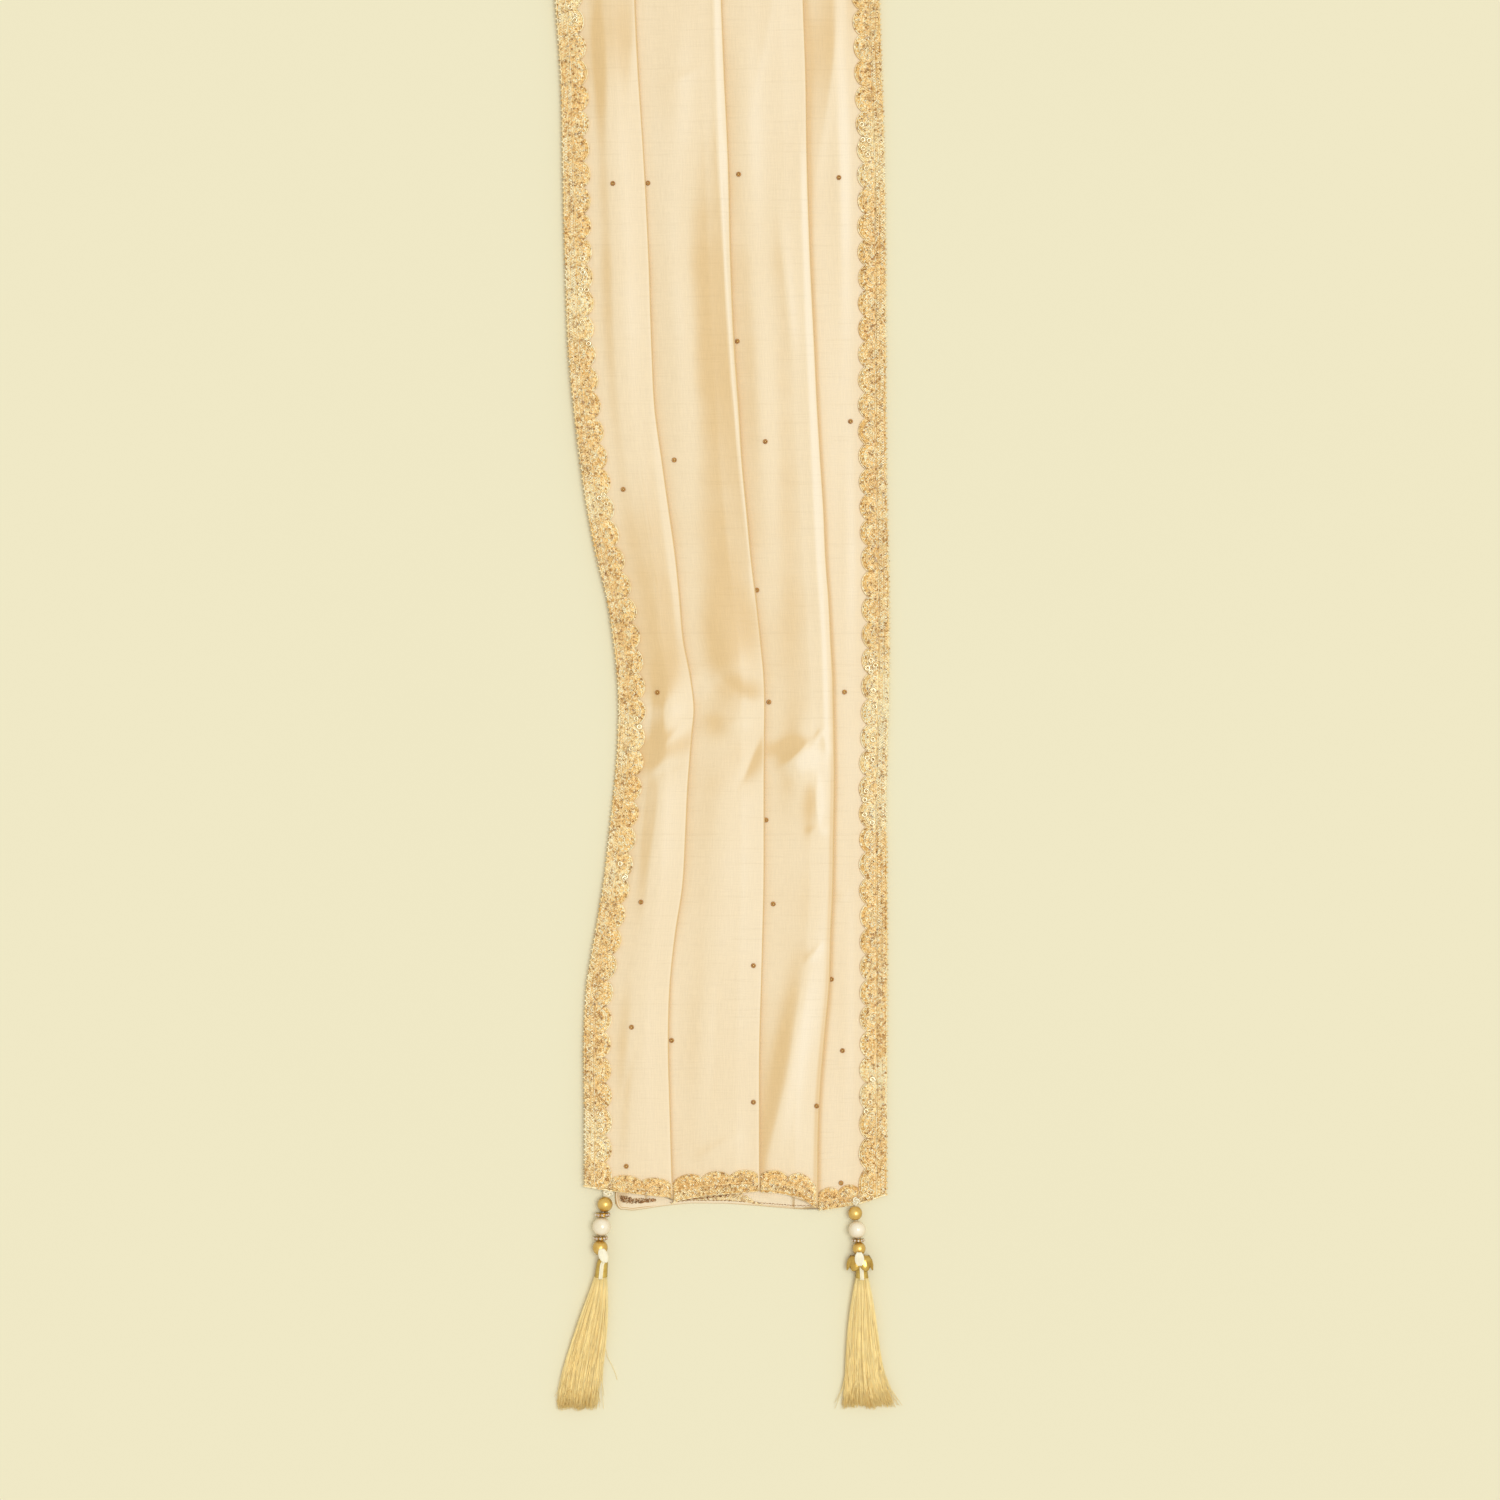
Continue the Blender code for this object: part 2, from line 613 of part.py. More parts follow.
def rondelle_profile(radius, half_length):
    """A disc with a narrow rim and bevelled shoulders."""
    return [
        (half_length, 0.0), (half_length, radius * 0.6), (half_length * 0.35, radius),
        (-half_length * 0.35, radius), (-half_length, radius * 0.6), (-half_length, 0.0),
    ]


def make_beads():
    for name, shape, x, along, radius, half_length, z in BEADS:
        squash = 1.0
        profile = ball_profile(radius, half_length)
        look = "white_pearl" if "white" in name else "gold_bead"
        if shape == "rondelle":
            profile = rondelle_profile(radius, half_length)
            look = "crystal"
        if shape == "knot":
            squash = KNOT_SQUASH
            look = "tassel_silk"
        turned(name, (x, along, z), profile, squash, PEARL_SIDES, look)


def ring_body(name, rings, finish_name):
    """Close a ring of equal loops of points into one body without ends."""
    size = len(rings[0])
    points = [point for ring in rings for point in ring]
    faces = []
    for row in range(len(rings)):
        base = row * size
        following = ((row + 1) % len(rings)) * size
        for k in range(size):
            after = (k + 1) % size
            faces.append((base + k, base + after, following + after, following + k))
    return new_object(name, points, faces, finish_name)


def make_loops():
    for name, x0, along0, z0, half_width, half_length, drop in LOOPS:
        rings = []
        for n in range(LOOP_SIDES):
            turn = 2.0 * math.pi * n / LOOP_SIDES
            ring = []
            for k in range(LOOP_CORD_SIDES):
                around = 2.0 * math.pi * k / LOOP_CORD_SIDES
                reach = LOOP_CORD_RADIUS * math.cos(around)
                x = x0 + (half_width + reach) * math.cos(turn)
                y = along0 + (half_length + reach) * math.sin(turn)
                z = z0 + drop * math.sin(turn) + LOOP_CORD_RADIUS * math.sin(around)
                ring.append((x, y, z))
            rings.append(ring)
        ring_body(name, rings, "tassel_silk")


def make_bell_cap():
    """A thin cup with a lobed rim that opens towards the tassel."""
    rings = []
    for n in range(CAP_SIDES):
        turn = 2.0 * math.pi * n / CAP_SIDES
        between = 1.0 - abs(math.cos(turn * CAP_LOBES / 2.0))
        ring = []
        for row, (offset, radius) in enumerate(CAP_PROFILE):
            cut = CAP_RIM_CUT * between if row in CAP_RIM_ROWS else 0.0
            radius -= cut * 0.3
            x = CAP_X + radius * math.cos(turn)
            z = CAP_Z + radius * CAP_SQUASH * math.sin(turn)
            ring.append((x, CAP_ALONG + offset + cut, z))
        rings.append(ring)
    ring_body("right_bell_cap", rings, "gold_bead")


def skirt_point(row, across, up):
    """A point of a tassel's section; across and up run from -1 to 1 over a square."""
    along, x, half_width, z, half_height = row
    side = across * math.sqrt(1.0 - up * up / 2.0)
    rise = up * math.sqrt(1.0 - across * across / 2.0)
    return (x + half_width * side, along, z + half_height * rise)


def make_tassel(side):
    """A neck whose lower face is divided into cells, with a strand drawn out of each."""
    rows = SKIRTS[side]
    wander = random.Random(side)
    columns = [2.0 * n / STRANDS_ACROSS - 1.0 for n in range(STRANDS_ACROSS + 1)]
    levels = [2.0 * n / STRANDS_HIGH - 1.0 for n in range(STRANDS_HIGH + 1)]
    rim = [(a, -1.0) for a in columns[:-1]] + [(1.0, b) for b in levels[:-1]]
    rim += [(a, 1.0) for a in columns[:0:-1]] + [(-1.0, b) for b in levels[:0:-1]]
    points = []
    faces = []
    for row in rows[:NECK_ROWS]:
        points += [skirt_point(row, a, b) for a, b in rim]
    count = len(rim)
    faces.append(tuple(range(count)))
    for row in range(NECK_ROWS - 1):
        base = row * count
        for k in range(count):
            after = (k + 1) % count
            faces.append((base + k, base + after, base + count + after, base + count + k))
    corner = {}
    for k, place in enumerate(rim):
        corner[place] = (NECK_ROWS - 1) * count + k
    root = rows[NECK_ROWS - 1]
    for a in columns:
        for b in levels:
            if (a, b) not in corner:
                corner[(a, b)] = len(points)
                points.append(skirt_point(root, a, b))
    lower = rows[NECK_ROWS:]
    for i in range(STRANDS_ACROSS):
        for j in range(STRANDS_HIGH):
            middle = ((columns[i] + columns[i + 1]) / 2, (levels[j] + levels[j + 1]) / 2)
            end = 1.0 - wander.random() * STRAND_RAGGED
            tip = [a + (b - a) * end for a, b in zip(lower[-2], lower[-1])]
            rings = []
            for step, row in enumerate((root, *lower[:-1], tip)):
                half_a = STRAND_FILL[step] / STRANDS_ACROSS
                half_b = STRAND_FILL[step] / STRANDS_HIGH
                sway = STRAND_WANDER if step else 0.0
                a = middle[0] + wander.uniform(-sway, sway) / STRANDS_ACROSS
                b = middle[1] + wander.uniform(-sway, sway) / STRANDS_HIGH
                ring = ((a - half_a, b - half_b), (a + half_a, b - half_b), (a, b + half_b))
                rings.append([len(points) + n for n in range(3)])
                points += [skirt_point(row, *place) for place in ring]
            low_left = corner[(columns[i], levels[j])]
            low_right = corner[(columns[i + 1], levels[j])]
            high_right = corner[(columns[i + 1], levels[j + 1])]
            high_left = corner[(columns[i], levels[j + 1])]
            first = rings[0]
            faces.append((low_left, low_right, first[1], first[0]))
            faces.append((low_right, high_right, first[2], first[1]))
            faces.append((high_right, high_left, first[2]))
            faces.append((high_left, low_left, first[0], first[2]))
            for upper, under in zip(rings, rings[1:]):
                for n in range(3):
                    after = (n + 1) % 3
                    faces.append((upper[n], upper[after], under[after], under[n]))
            faces.append(tuple(rings[-1]))
    new_object(f"{side}_tassel", points, faces, "tassel_silk")


def main():
    clear_scene()
    make_pleats()
    make_hidden_layers()
    make_lace()
    make_beads()
    make_loops()
    make_bell_cap()
    for side in ("left", "right"):
        make_tassel(side)


main()
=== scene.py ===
import json
import math
import random

import bpy
import numpy as np
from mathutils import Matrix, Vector
from mathutils.geometry import tessellate_polygon

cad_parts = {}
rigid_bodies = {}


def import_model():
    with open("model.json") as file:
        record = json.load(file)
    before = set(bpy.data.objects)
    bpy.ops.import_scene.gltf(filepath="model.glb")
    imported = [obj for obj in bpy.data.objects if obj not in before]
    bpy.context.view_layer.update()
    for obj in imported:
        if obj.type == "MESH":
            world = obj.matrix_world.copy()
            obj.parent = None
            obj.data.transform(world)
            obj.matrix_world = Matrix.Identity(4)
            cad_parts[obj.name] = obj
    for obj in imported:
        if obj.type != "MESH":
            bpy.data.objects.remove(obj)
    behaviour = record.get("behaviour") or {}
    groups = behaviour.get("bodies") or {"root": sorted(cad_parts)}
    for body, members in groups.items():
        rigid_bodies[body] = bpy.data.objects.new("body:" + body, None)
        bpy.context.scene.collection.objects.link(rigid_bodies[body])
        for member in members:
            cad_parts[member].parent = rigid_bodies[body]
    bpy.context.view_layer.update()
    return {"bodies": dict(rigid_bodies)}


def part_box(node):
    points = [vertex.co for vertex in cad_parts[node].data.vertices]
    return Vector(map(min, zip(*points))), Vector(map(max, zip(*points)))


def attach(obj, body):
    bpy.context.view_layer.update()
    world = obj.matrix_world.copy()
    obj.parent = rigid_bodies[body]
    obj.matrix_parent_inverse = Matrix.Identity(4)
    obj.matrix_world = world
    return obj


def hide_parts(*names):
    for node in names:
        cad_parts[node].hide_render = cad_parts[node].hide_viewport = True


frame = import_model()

BODY = next(iter(frame["bodies"]))
MM = 0.001

# The stole as it is cut and folded, in millimetres: x across it, along from its near hem
LENGTH = 1995.0
NEAR_HEM_Y = -933.0
MIDDLE_X = 1.6
WALL = 1.0
CLOTH = 0.5
GAP = 0.3
SLIT = 0.3
RETURN = 14.0
TUCK = 16.0
FOLD_RADIUS = (2.0 * WALL + SLIT) / 2.0
EASE = 20.0
WIDEST_EASE = 36.0
HIDDEN_HEIGHT = {1: 2.6, 2: 1.8, 3: 1.0}
HIDDEN_INSET = 19.5
HIDDEN_DROP = 0.9
UNDER_EDGE = 1.7
UNDER_JOIN = 40.5
UNDER_TOP = np.array(((-66.3, 2.7), (-48.0, 2.4), (-20.0, 2.0), (20.0, 1.6), (39.0, 1.1)))
UNDER_TONE = 0.7
STEP_CLEARANCE = 0.5
SLOPE_START = 9.0
CLOTH_INSET = 1.5

# Outer edges and folded edges at distances from the near hem
SECTION_COLUMNS = ("along", "left", "fold_1", "fold_2", "fold_3", "right")
SECTIONS = np.array((
    (0.0, -85.8, -31.8, 20.4, 55.2, 97.2),
    (45.0, -85.7, -33.2, 20.4, 56.1, 97.4),
    (90.0, -86.1, -34.2, 20.7, 59.6, 97.6),
    (120.0, -84.5, -33.2, 21.6, 62.3, 97.7),
    (150.0, -79.5, -30.1, 22.4, 63.2, 97.7),
    (180.0, -74.6, -25.6, 23.1, 64.5, 97.4),
    (210.0, -71.1, -23.9, 23.2, 64.9, 97.2),
    (240.0, -67.8, -22.5, 23.2, 65.4, 97.2),
    (270.0, -65.7, -20.1, 23.4, 65.2, 98.0),
    (285.0, -65.3, -18.8, 23.6, 64.9, 98.5),
    (303.0, -66.0, -20.6, 23.2, 64.6, 98.8),
    (327.0, -68.4, -25.2, 21.0, 63.3, 98.9),
    (351.0, -72.2, -27.3, 18.4, 62.1, 98.7),
    (375.0, -78.0, -29.7, 15.6, 60.3, 98.4),
    (405.0, -84.1, -33.9, 12.8, 59.0, 97.6),
    (435.0, -88.4, -38.1, 10.0, 57.1, 97.1),
    (465.0, -92.1, -42.2, 8.2, 55.3, 96.7),
    (501.0, -95.4, -44.1, 5.6, 53.6, 96.8),
    (555.0, -97.5, -45.9, 3.2, 51.0, 96.7),
    (615.0, -98.9, -48.9, 1.7, 49.0, 96.0),
    (669.0, -100.3, -52.3, -0.8, 48.1, 94.4),
    (711.0, -103.2, -54.3, -2.4, 46.6, 93.0),
    (790.0, -104.4, -55.5, -3.5, 46.0, 92.5),
    (900.0, -102.0, -54.0, -2.0, 47.5, 93.5),
    (1000.0, -98.6, -50.0, 1.5, 50.0, 95.5),
    (1110.0, -96.5, -46.5, 4.5, 52.5, 97.0),
    (1230.0, -98.0, -47.5, 4.0, 52.0, 96.5),
    (1350.0, -101.5, -51.5, 0.5, 49.5, 94.5),
    (1470.0, -103.0, -54.0, -2.5, 47.0, 93.0),
    (1590.0, -101.0, -52.5, -1.0, 48.0, 94.0),
    (1700.0, -97.0, -48.5, 3.0, 51.0, 96.0),
    (1810.0, -93.5, -43.5, 8.0, 54.0, 98.0),
    (1900.0, -91.0, -40.0, 12.0, 56.0, 98.5),
    (1995.0, -89.5, -38.0, 14.5, 57.0, 98.5),
))

# How far each layer's hems stray outward: x, near, far
HEMS = {
    1: ((-85.8, 0.0, 0.0), (-66.6, 3.0, 1.0), (-32.4, 6.6, 2.5)),
    2: (
        (-47.8, 4.0, 1.0), (-38.0, 5.8, 1.2), (-32.5, 9.6, 1.5), (-11.4, 5.4, 2.0),
        (18.6, 3.0, 0.5),
    ),
    3: ((18.6, 3.6, 3.0), (31.2, 4.2, 2.5), (45.0, 6.6, 1.0), (53.4, 12.6, 0.5)),
    4: (
        (40.9, 14.7, 5.0), (48.0, 15.0, 4.3), (55.8, 15.0, 3.5), (78.0, 11.4, 2.0),
        (96.0, 5.4, 0.0),
    ),
    "hidden": (
        (-66.0, 12.0, 1.5), (-63.0, 14.6, 4.0), (-56.4, 15.6, 5.5), (-45.6, 14.2, 5.2),
        (-36.6, 12.9, 5.0), (-21.6, 11.4, 4.7), (0.0, 11.6, 5.0), (20.0, 13.0, 5.4),
        (38.0, 14.6, 5.0), (53.4, 15.6, 4.5),
    ),
}
HEM_REACH = 70.0

# Broad ridges of each pleat: pleat, along, x, half length, half width, lean, height
RIDGES = (
    (1, 219.0, -44.0, 42.0, 12.0, 0.10, 0.7),
    (1, 287.0, -37.0, 26.0, 11.0, 0.25, 0.9),
    (1, 540.0, -66.0, 90.0, 10.0, -0.03, 0.6),
    (1, 670.0, -76.0, 60.0, 9.0, -0.05, 0.6),
    (1, 70.0, -58.0, 50.0, 10.0, 0.05, 0.5),
    (2, 520.0, -31.0, 110.0, 9.0, -0.05, 0.8),
    (2, 655.0, -30.0, 60.0, 9.0, -0.02, 0.6),
    (2, 316.0, 2.0, 30.0, 10.0, -0.20, 0.8),
    (2, 210.0, -5.0, 60.0, 12.0, 0.04, 0.6),
    (2, 90.0, -12.0, 60.0, 10.0, 0.05, 0.5),
    (3, 480.0, 20.0, 100.0, 8.0, -0.05, 0.7),
    (3, 255.0, 44.0, 28.0, 9.0, 0.10, 0.8),
    (3, 74.0, 38.0, 66.0, 8.0, 0.19, 0.9),
    (3, 640.0, 12.0, 70.0, 8.0, -0.03, 0.5),
    (4, 610.0, 70.0, 80.0, 7.0, -0.02, 0.6),
    (4, 400.0, 78.0, 70.0, 7.0, 0.02, 0.5),
    (4, 120.0, 78.0, 80.0, 7.0, 0.01, 0.5),
    (1, 880.0, -70.0, 100.0, 10.0, 0.03, 0.6),
    (1, 1160.0, -66.0, 110.0, 11.0, -0.02, 0.7),
    (1, 1450.0, -72.0, 100.0, 10.0, 0.03, 0.7),
    (1, 1740.0, -60.0, 100.0, 11.0, 0.05, 0.6),
    (2, 900.0, -26.0, 110.0, 10.0, 0.02, 0.7),
    (2, 1230.0, -18.0, 120.0, 10.0, -0.02, 0.7),
    (2, 1600.0, -24.0, 120.0, 10.0, 0.03, 0.7),
    (3, 860.0, 16.0, 100.0, 8.0, 0.02, 0.6),
    (3, 1150.0, 24.0, 110.0, 8.0, -0.02, 0.7),
    (3, 1480.0, 16.0, 110.0, 8.0, 0.02, 0.6),
    (3, 1800.0, 28.0, 100.0, 8.0, 0.03, 0.6),
    (4, 900.0, 70.0, 110.0, 7.0, 0.01, 0.5),
    (4, 1300.0, 73.0, 120.0, 7.0, -0.01, 0.5),
    (4, 1700.0, 74.0, 110.0, 7.0, 0.02, 0.5),
)
RIDGE_FADE = 10.0

# Creases: pleat, height, width of the left flank and of the right one, roundness of the
# crest, and the line as (x, along) from near to far; a negative height is a trough
CREASES = (
    (1, 0.4, 14.0, 4.0, 1.2, ((-27.0, 300.0), (-32.0, 351.0), (-43.0, 435.0), (-48.0, 500.0))),
    (1, 0.5, 5.0, 4.0, 0.6, ((-46.0, 258.0), (-34.0, 268.0), (-21.6, 280.0))),
    (1, -0.6, 4.0, 6.0, 0.6, ((-52.0, 243.0), (-36.0, 249.0), (-22.0, 254.0))),
    (1, 0.4, 12.0, 6.0, 1.5, ((-60.0, 620.0), (-56.0, 690.0), (-54.0, 760.0))),
    (1, 0.12, 7.0, 5.0, 1.0, ((-49.0, 135.0), (-47.0, 190.0), (-46.0, 231.0))),
    (1, -0.3, 5.0, 5.0, 1.2, ((-66.0, 20.0), (-60.0, 60.0), (-50.0, 110.0))),
    (2, 1.6, 17.0, 2.2, 0.5, (
        (15.5, 345.0), (14.4, 375.0), (9.9, 419.0), (3.9, 483.0), (-0.9, 561.0), (-4.2, 640.0),
    )),
    (2, 0.6, 6.0, 2.0, 0.5, (
        (-1.6, 570.0), (-3.9, 603.0), (-6.4, 680.0), (-8.2, 770.0), (-7.0, 900.0), (-3.5, 1000.0),
    )),
    (2, -0.7, 4.0, 7.0, 0.6, ((21.0, 290.0), (8.0, 296.0), (-8.0, 306.0))),
    (2, 0.5, 4.0, 4.0, 1.0, ((-16.0, 281.0), (2.0, 277.0), (19.0, 275.0))),
    (2, -0.7, 7.0, 5.0, 0.8, ((4.0, 232.0), (14.0, 252.0), (24.0, 276.0))),
    (2, -0.3, 9.0, 6.0, 1.5, ((-14.0, 12.0), (-8.0, 70.0), (-4.0, 150.0))),
    (2, 0.3, 3.0, 5.0, 1.0, ((-22.0, 18.0), (-6.0, 24.0), (12.0, 34.0))),
    (3, 0.7, 11.0, 3.2, 0.8, (
        (59.0, 236.0), (58.8, 276.0), (57.4, 327.0), (54.2, 375.0), (51.6, 429.0), (48.2, 510.0),
        (45.6, 575.0), (44.0, 650.0),
    )),
    (3, 0.5, 7.0, 4.0, 1.5, ((44.0, 470.0), (38.0, 520.0), (33.0, 570.0), (30.0, 610.0))),
    (3, 0.9, 5.0, 8.0, 0.6, ((27.6, 249.0), (40.0, 256.0), (55.8, 271.0))),
    (3, 0.8, 7.0, 2.0, 0.4, ((55.4, 208.0), (54.8, 230.0), (54.6, 252.0))),
    (3, 0.5, 1.6, 1.6, 0.4, ((50.0, 262.0), (57.0, 272.0), (64.0, 275.0))),
    (3, 0.4, 1.5, 2.0, 0.4, ((57.0, 274.0), (60.0, 265.0), (61.0, 256.0))),
    (3, 0.5, 2.0, 2.0, 0.4, ((46.0, 212.0), (55.0, 213.0), (63.0, 212.0))),
    (3, 0.5, 2.0, 1.6, 0.4, ((46.0, 132.0), (53.0, 139.0), (59.0, 147.0))),
    (3, 0.35, 11.0, 6.0, 1.0, ((19.0, -10.0), (26.0, 25.0), (37.2, 64.0), (48.0, 140.0))),
    (4, 0.5, 13.0, 6.0, 1.0, ((50.0, 580.0), (60.0, 640.0), (68.0, 700.0), (73.0, 770.0))),
    (4, -0.3, 4.0, 6.0, 1.0, ((72.0, 150.0), (76.0, 200.0), (78.0, 240.0))),
    (4, 0.25, 3.0, 3.0, 0.8, ((66.0, 168.0), (74.0, 176.0), (82.0, 180.0))),
)
CREASE_FADE = 60.0
CREASE_REACH = 5.0

# The same creases come again past the photo's edge: turned end for end, then moved along
MOVED_BY = 640.0
MOVED_HEIGHT = 0.75
MOVED_BELOW = 560.0

# Broad patches of painted light and shade on the silk, deeper or paler where it leans: pleat, change,
# x, along, half width, half length, lean (mm of x for each mm along)
TONES = (
    (1, -0.42, -69.0, 690.0, 20.0, 40.0, 0.0),
    (1, -0.34, -45.0, 352.0, 26.0, 62.0, -0.12),
    (1, -0.16, -62.0, 300.0, 14.0, 24.0, 0.2),
    (1, 0.22, -36.0, 285.0, 18.0, 8.0, 1.2),
    (1, -0.60, -40.0, 261.0, 20.0, 12.0, 1.3),
    (1, -0.25, -33.0, 302.0, 14.0, 26.0, 0.0),
    (1, -0.18, -63.0, 190.0, 9.0, 55.0, 0.2),
    (1, -0.12, -66.0, 66.0, 9.0, 40.0, 0.0),
    (2, -0.42, -7.0, 500.0, 14.0, 95.0, -0.08),
    (2, 0.36, -37.0, 560.0, 9.0, 120.0, -0.05),
    (2, -0.18, -2.0, 350.0, 20.0, 50.0, 0.0),
    (2, 0.22, -16.0, 300.0, 12.0, 10.0, 1.0),
    (2, -0.34, 8.0, 299.0, 13.0, 7.0, -0.8),
    (2, -0.30, 6.0, 352.0, 13.0, 42.0, -0.2),
    (2, -0.35, 9.0, 322.0, 12.0, 26.0, 0.0),
    (2, -0.18, -4.0, 274.0, 9.0, 6.0, 0.0),
    (2, -0.45, 13.0, 255.0, 14.0, 18.0, 0.35),
    (2, 0.10, -6.0, 170.0, 20.0, 60.0, 0.0),
    (2, 0.12, -30.0, 640.0, 18.0, 60.0, 0.0),
    (3, -0.20, 34.0, 420.0, 9.0, 110.0, -0.05),
    (3, -0.12, 34.0, 330.0, 15.0, 40.0, 0.0),
    (3, -0.42, 38.0, 263.0, 16.0, 5.5, 1.4),
    (3, 0.28, 46.0, 254.0, 9.0, 8.0, 0.6),
    (3, -0.36, 50.0, 231.0, 5.0, 20.0, 0.0),
    (3, -0.04, 29.0, 62.0, 8.0, 62.0, 0.18),
    (3, 0.12, 22.0, 640.0, 18.0, 70.0, 0.0),
    (3, -0.14, 50.0, 180.0, 6.0, 30.0, 0.0),
    (4, -0.45, 55.0, 690.0, 22.0, 50.0, 0.3),
    (4, -0.20, 54.0, 605.0, 8.0, 45.0, 0.0),
    (4, 0.10, 74.0, 470.0, 12.0, 90.0, 0.0),
    (4, -0.10, 72.0, 120.0, 9.0, 30.0, 0.0),
)
# Base tone of each pleat; painted shadow beside the fold above each pleat, as change and width; painted
# shade on each rolled fold edge
BASE_TONES = {1: 0.41, 2: 0.5, 3: 0.5, 4: 0.5}
FOLD_SHADES = {2: (0.42, 2.4), 3: (0.42, 2.4), 4: (0.65, 1.8)}
EDGE_SHADE = 0.45
# The third pleat also has a band of painted shade before its fold, over the part nearer its hem
BAND_DEPTH = 0.50
BAND_START = 3.4
BAND_WIDTH = 2.6
BAND_END = 400.0
BAND_FADE = 110.0
# Strength of the painted tilt shade, and the share of it taken back on the first pleat's broad rise
SILK_TILT = 3.0
LEVELLED = {1: 0.85}

# The stole's long edges stand a little off the surface, more in some places than in others
EDGE_TOP = 3.0
EDGE_ROUND = 5.0
RIGHT_EDGE_RISE = 0.5
RIGHT_EDGE_WIDTH = 26.0
EDGE_WAVES = ((0.45, 61.0, 1.0), (0.30, 23.0, 0.4), (0.20, 140.0, 2.6))

# Rows and columns of the cloth's mesh
FINE_ROW = 1.8
FINE_ROWS_TO = 726.0
COARSE_ROW = 8.0
VISIBLE_COLUMNS = 40
FOLD_TURNS = (67.5, 45.0, 22.5, 0.0, -22.5, -45.0, -67.5)

# Lace: one repeat is a fan between its border of two braids and its scalloped inner edge
LACE_WIDTH = 17.4
SCALLOP_PITCH = 15.3
SCALLOP_DEPTH = 4.4
TAPE = 0.45
CORD = 0.42
LACE_CORNER_GAP = 0.4
HEM_LACE = ((1, 9.6, 13.0, 2), (2, 12.6, 13.0, 3), (3, 12.6, 13.0, 2), (4, 9.8, 13.0, 2))
HEM_OVERHANG = 0.8
TAPE_LINES = (0.9, 2.6, 4.9, 7.3)
FINE_REPEATS = 47
STITCH_LINE = 7.25
STITCH_STEP = 3.6
CORNER_CURLS = (
    (13.6, 1.2, 0.8), (15.2, 1.4, 0.9), (16.8, 1.3, 0.8), (14.4, 2.9, 0.8), (16.2, 3.0, 0.9),
    (17.2, 4.6, 0.7),
)

# Where the lace is paler and set with ring sequins: along, half length
PALE_LACE = {
    "left": (
        (704.0, 10.0), (530.0, 26.0), (408.0, 12.0), (268.0, 16.0), (186.0, 9.0), (30.0, 14.0),
    ),
    "right": ((618.0, 26.0), (276.0, 48.0), (222.0, 12.0), (60.0, 16.0)),
}

# Small ring sequins: sizes, and how they are strewn past the photo's edge
SEQUIN_RADIUS = 1.05
SEED_RADIUS = 0.5
LACE_SEQUIN_RADIUS = 1.2
SEQUIN_BANDS = 15
SEQUIN_BANDS_FROM = 760.0
SEQUIN_BAND_PITCH = 84.0
SEQUIN_MARGINS = (22.0, 3.0)

# Ring sequins on the cloth that shows in the photo: pleat, x, along
SEQUINS = (
    (1, -67.8, 600.6), (2, -46.8, 601.2), (3, 7.6, 606.6), (4, 67.8, 604.8),
    (3, 6.8, 506.4), (4, 74.8, 458.4), (3, 23.6, 446.1), (2, -31.0, 435.0),
    (1, -61.6, 417.3), (3, 18.6, 357.0), (1, -41.1, 295.5), (4, 71.2, 295.8),
    (3, 25.8, 289.8), (3, 24.0, 219.0), (1, -51.0, 169.8), (3, 28.4, 168.6),
    (2, 16.5, 131.7), (4, 62.4, 123.3), (1, -56.6, 94.8), (2, -32.6, 86.7),
    (4, 70.0, 80.4), (2, 16.5, 49.8), (3, 54.4, 47.4), (1, -59.8, 11.4), (4, 69.1, 0.9),
)


def smooth_step(t):
    t = np.clip(t, 0.0, 1.0)
    return t * t * (3.0 - 2.0 * t)


def ramp(t):
    """A nearly even rise from 0 to 1 with softened ends."""
    t = np.clip(t, 0.0, 1.0)
    return 0.65 * t + 0.35 * smooth_step(t)


def outline(column, along):
    """Smooth curve through one column of SECTIONS."""
    along = np.asarray(along, float)
    knots = SECTIONS[:, 0]
    values = SECTIONS[:, SECTION_COLUMNS.index(column)]
    slopes = np.gradient(values, knots)
    k = np.clip(np.searchsorted(knots, along) - 1, 0, len(knots) - 2)
    span = knots[k + 1] - knots[k]
    t = (along - knots[k]) / span
    ends = values[k] * (1 - t) ** 2 * (1 + 2 * t) + values[k + 1] * t * t * (3 - 2 * t)
    return ends + span * (slopes[k] * t * (1 - t) ** 2 - slopes[k + 1] * t * t * (1 - t))


def left_line(pleat):
    """The column of SECTIONS where a pleat starts to show."""
    return "left" if pleat == 1 else f"fold_{pleat - 1}"


def right_line(pleat):
    """The column of SECTIONS where a pleat ends."""
    return "right" if pleat == 4 else f"fold_{pleat}"


def hem_offset(layer, x, along):
    """How far a point near a hem is pushed outward along the stole."""
    table = np.array(HEMS[layer])
    near_fade = np.maximum(0.0, 1.0 - along / HEM_REACH) ** 2
    far_fade = np.maximum(0.0, 1.0 - (LENGTH - along) / HEM_REACH) ** 2
    near = np.interp(x, table[:, 0], table[:, 1])
    far = np.interp(x, table[:, 0], table[:, 2])
    return far * far_fade - near * near_fade


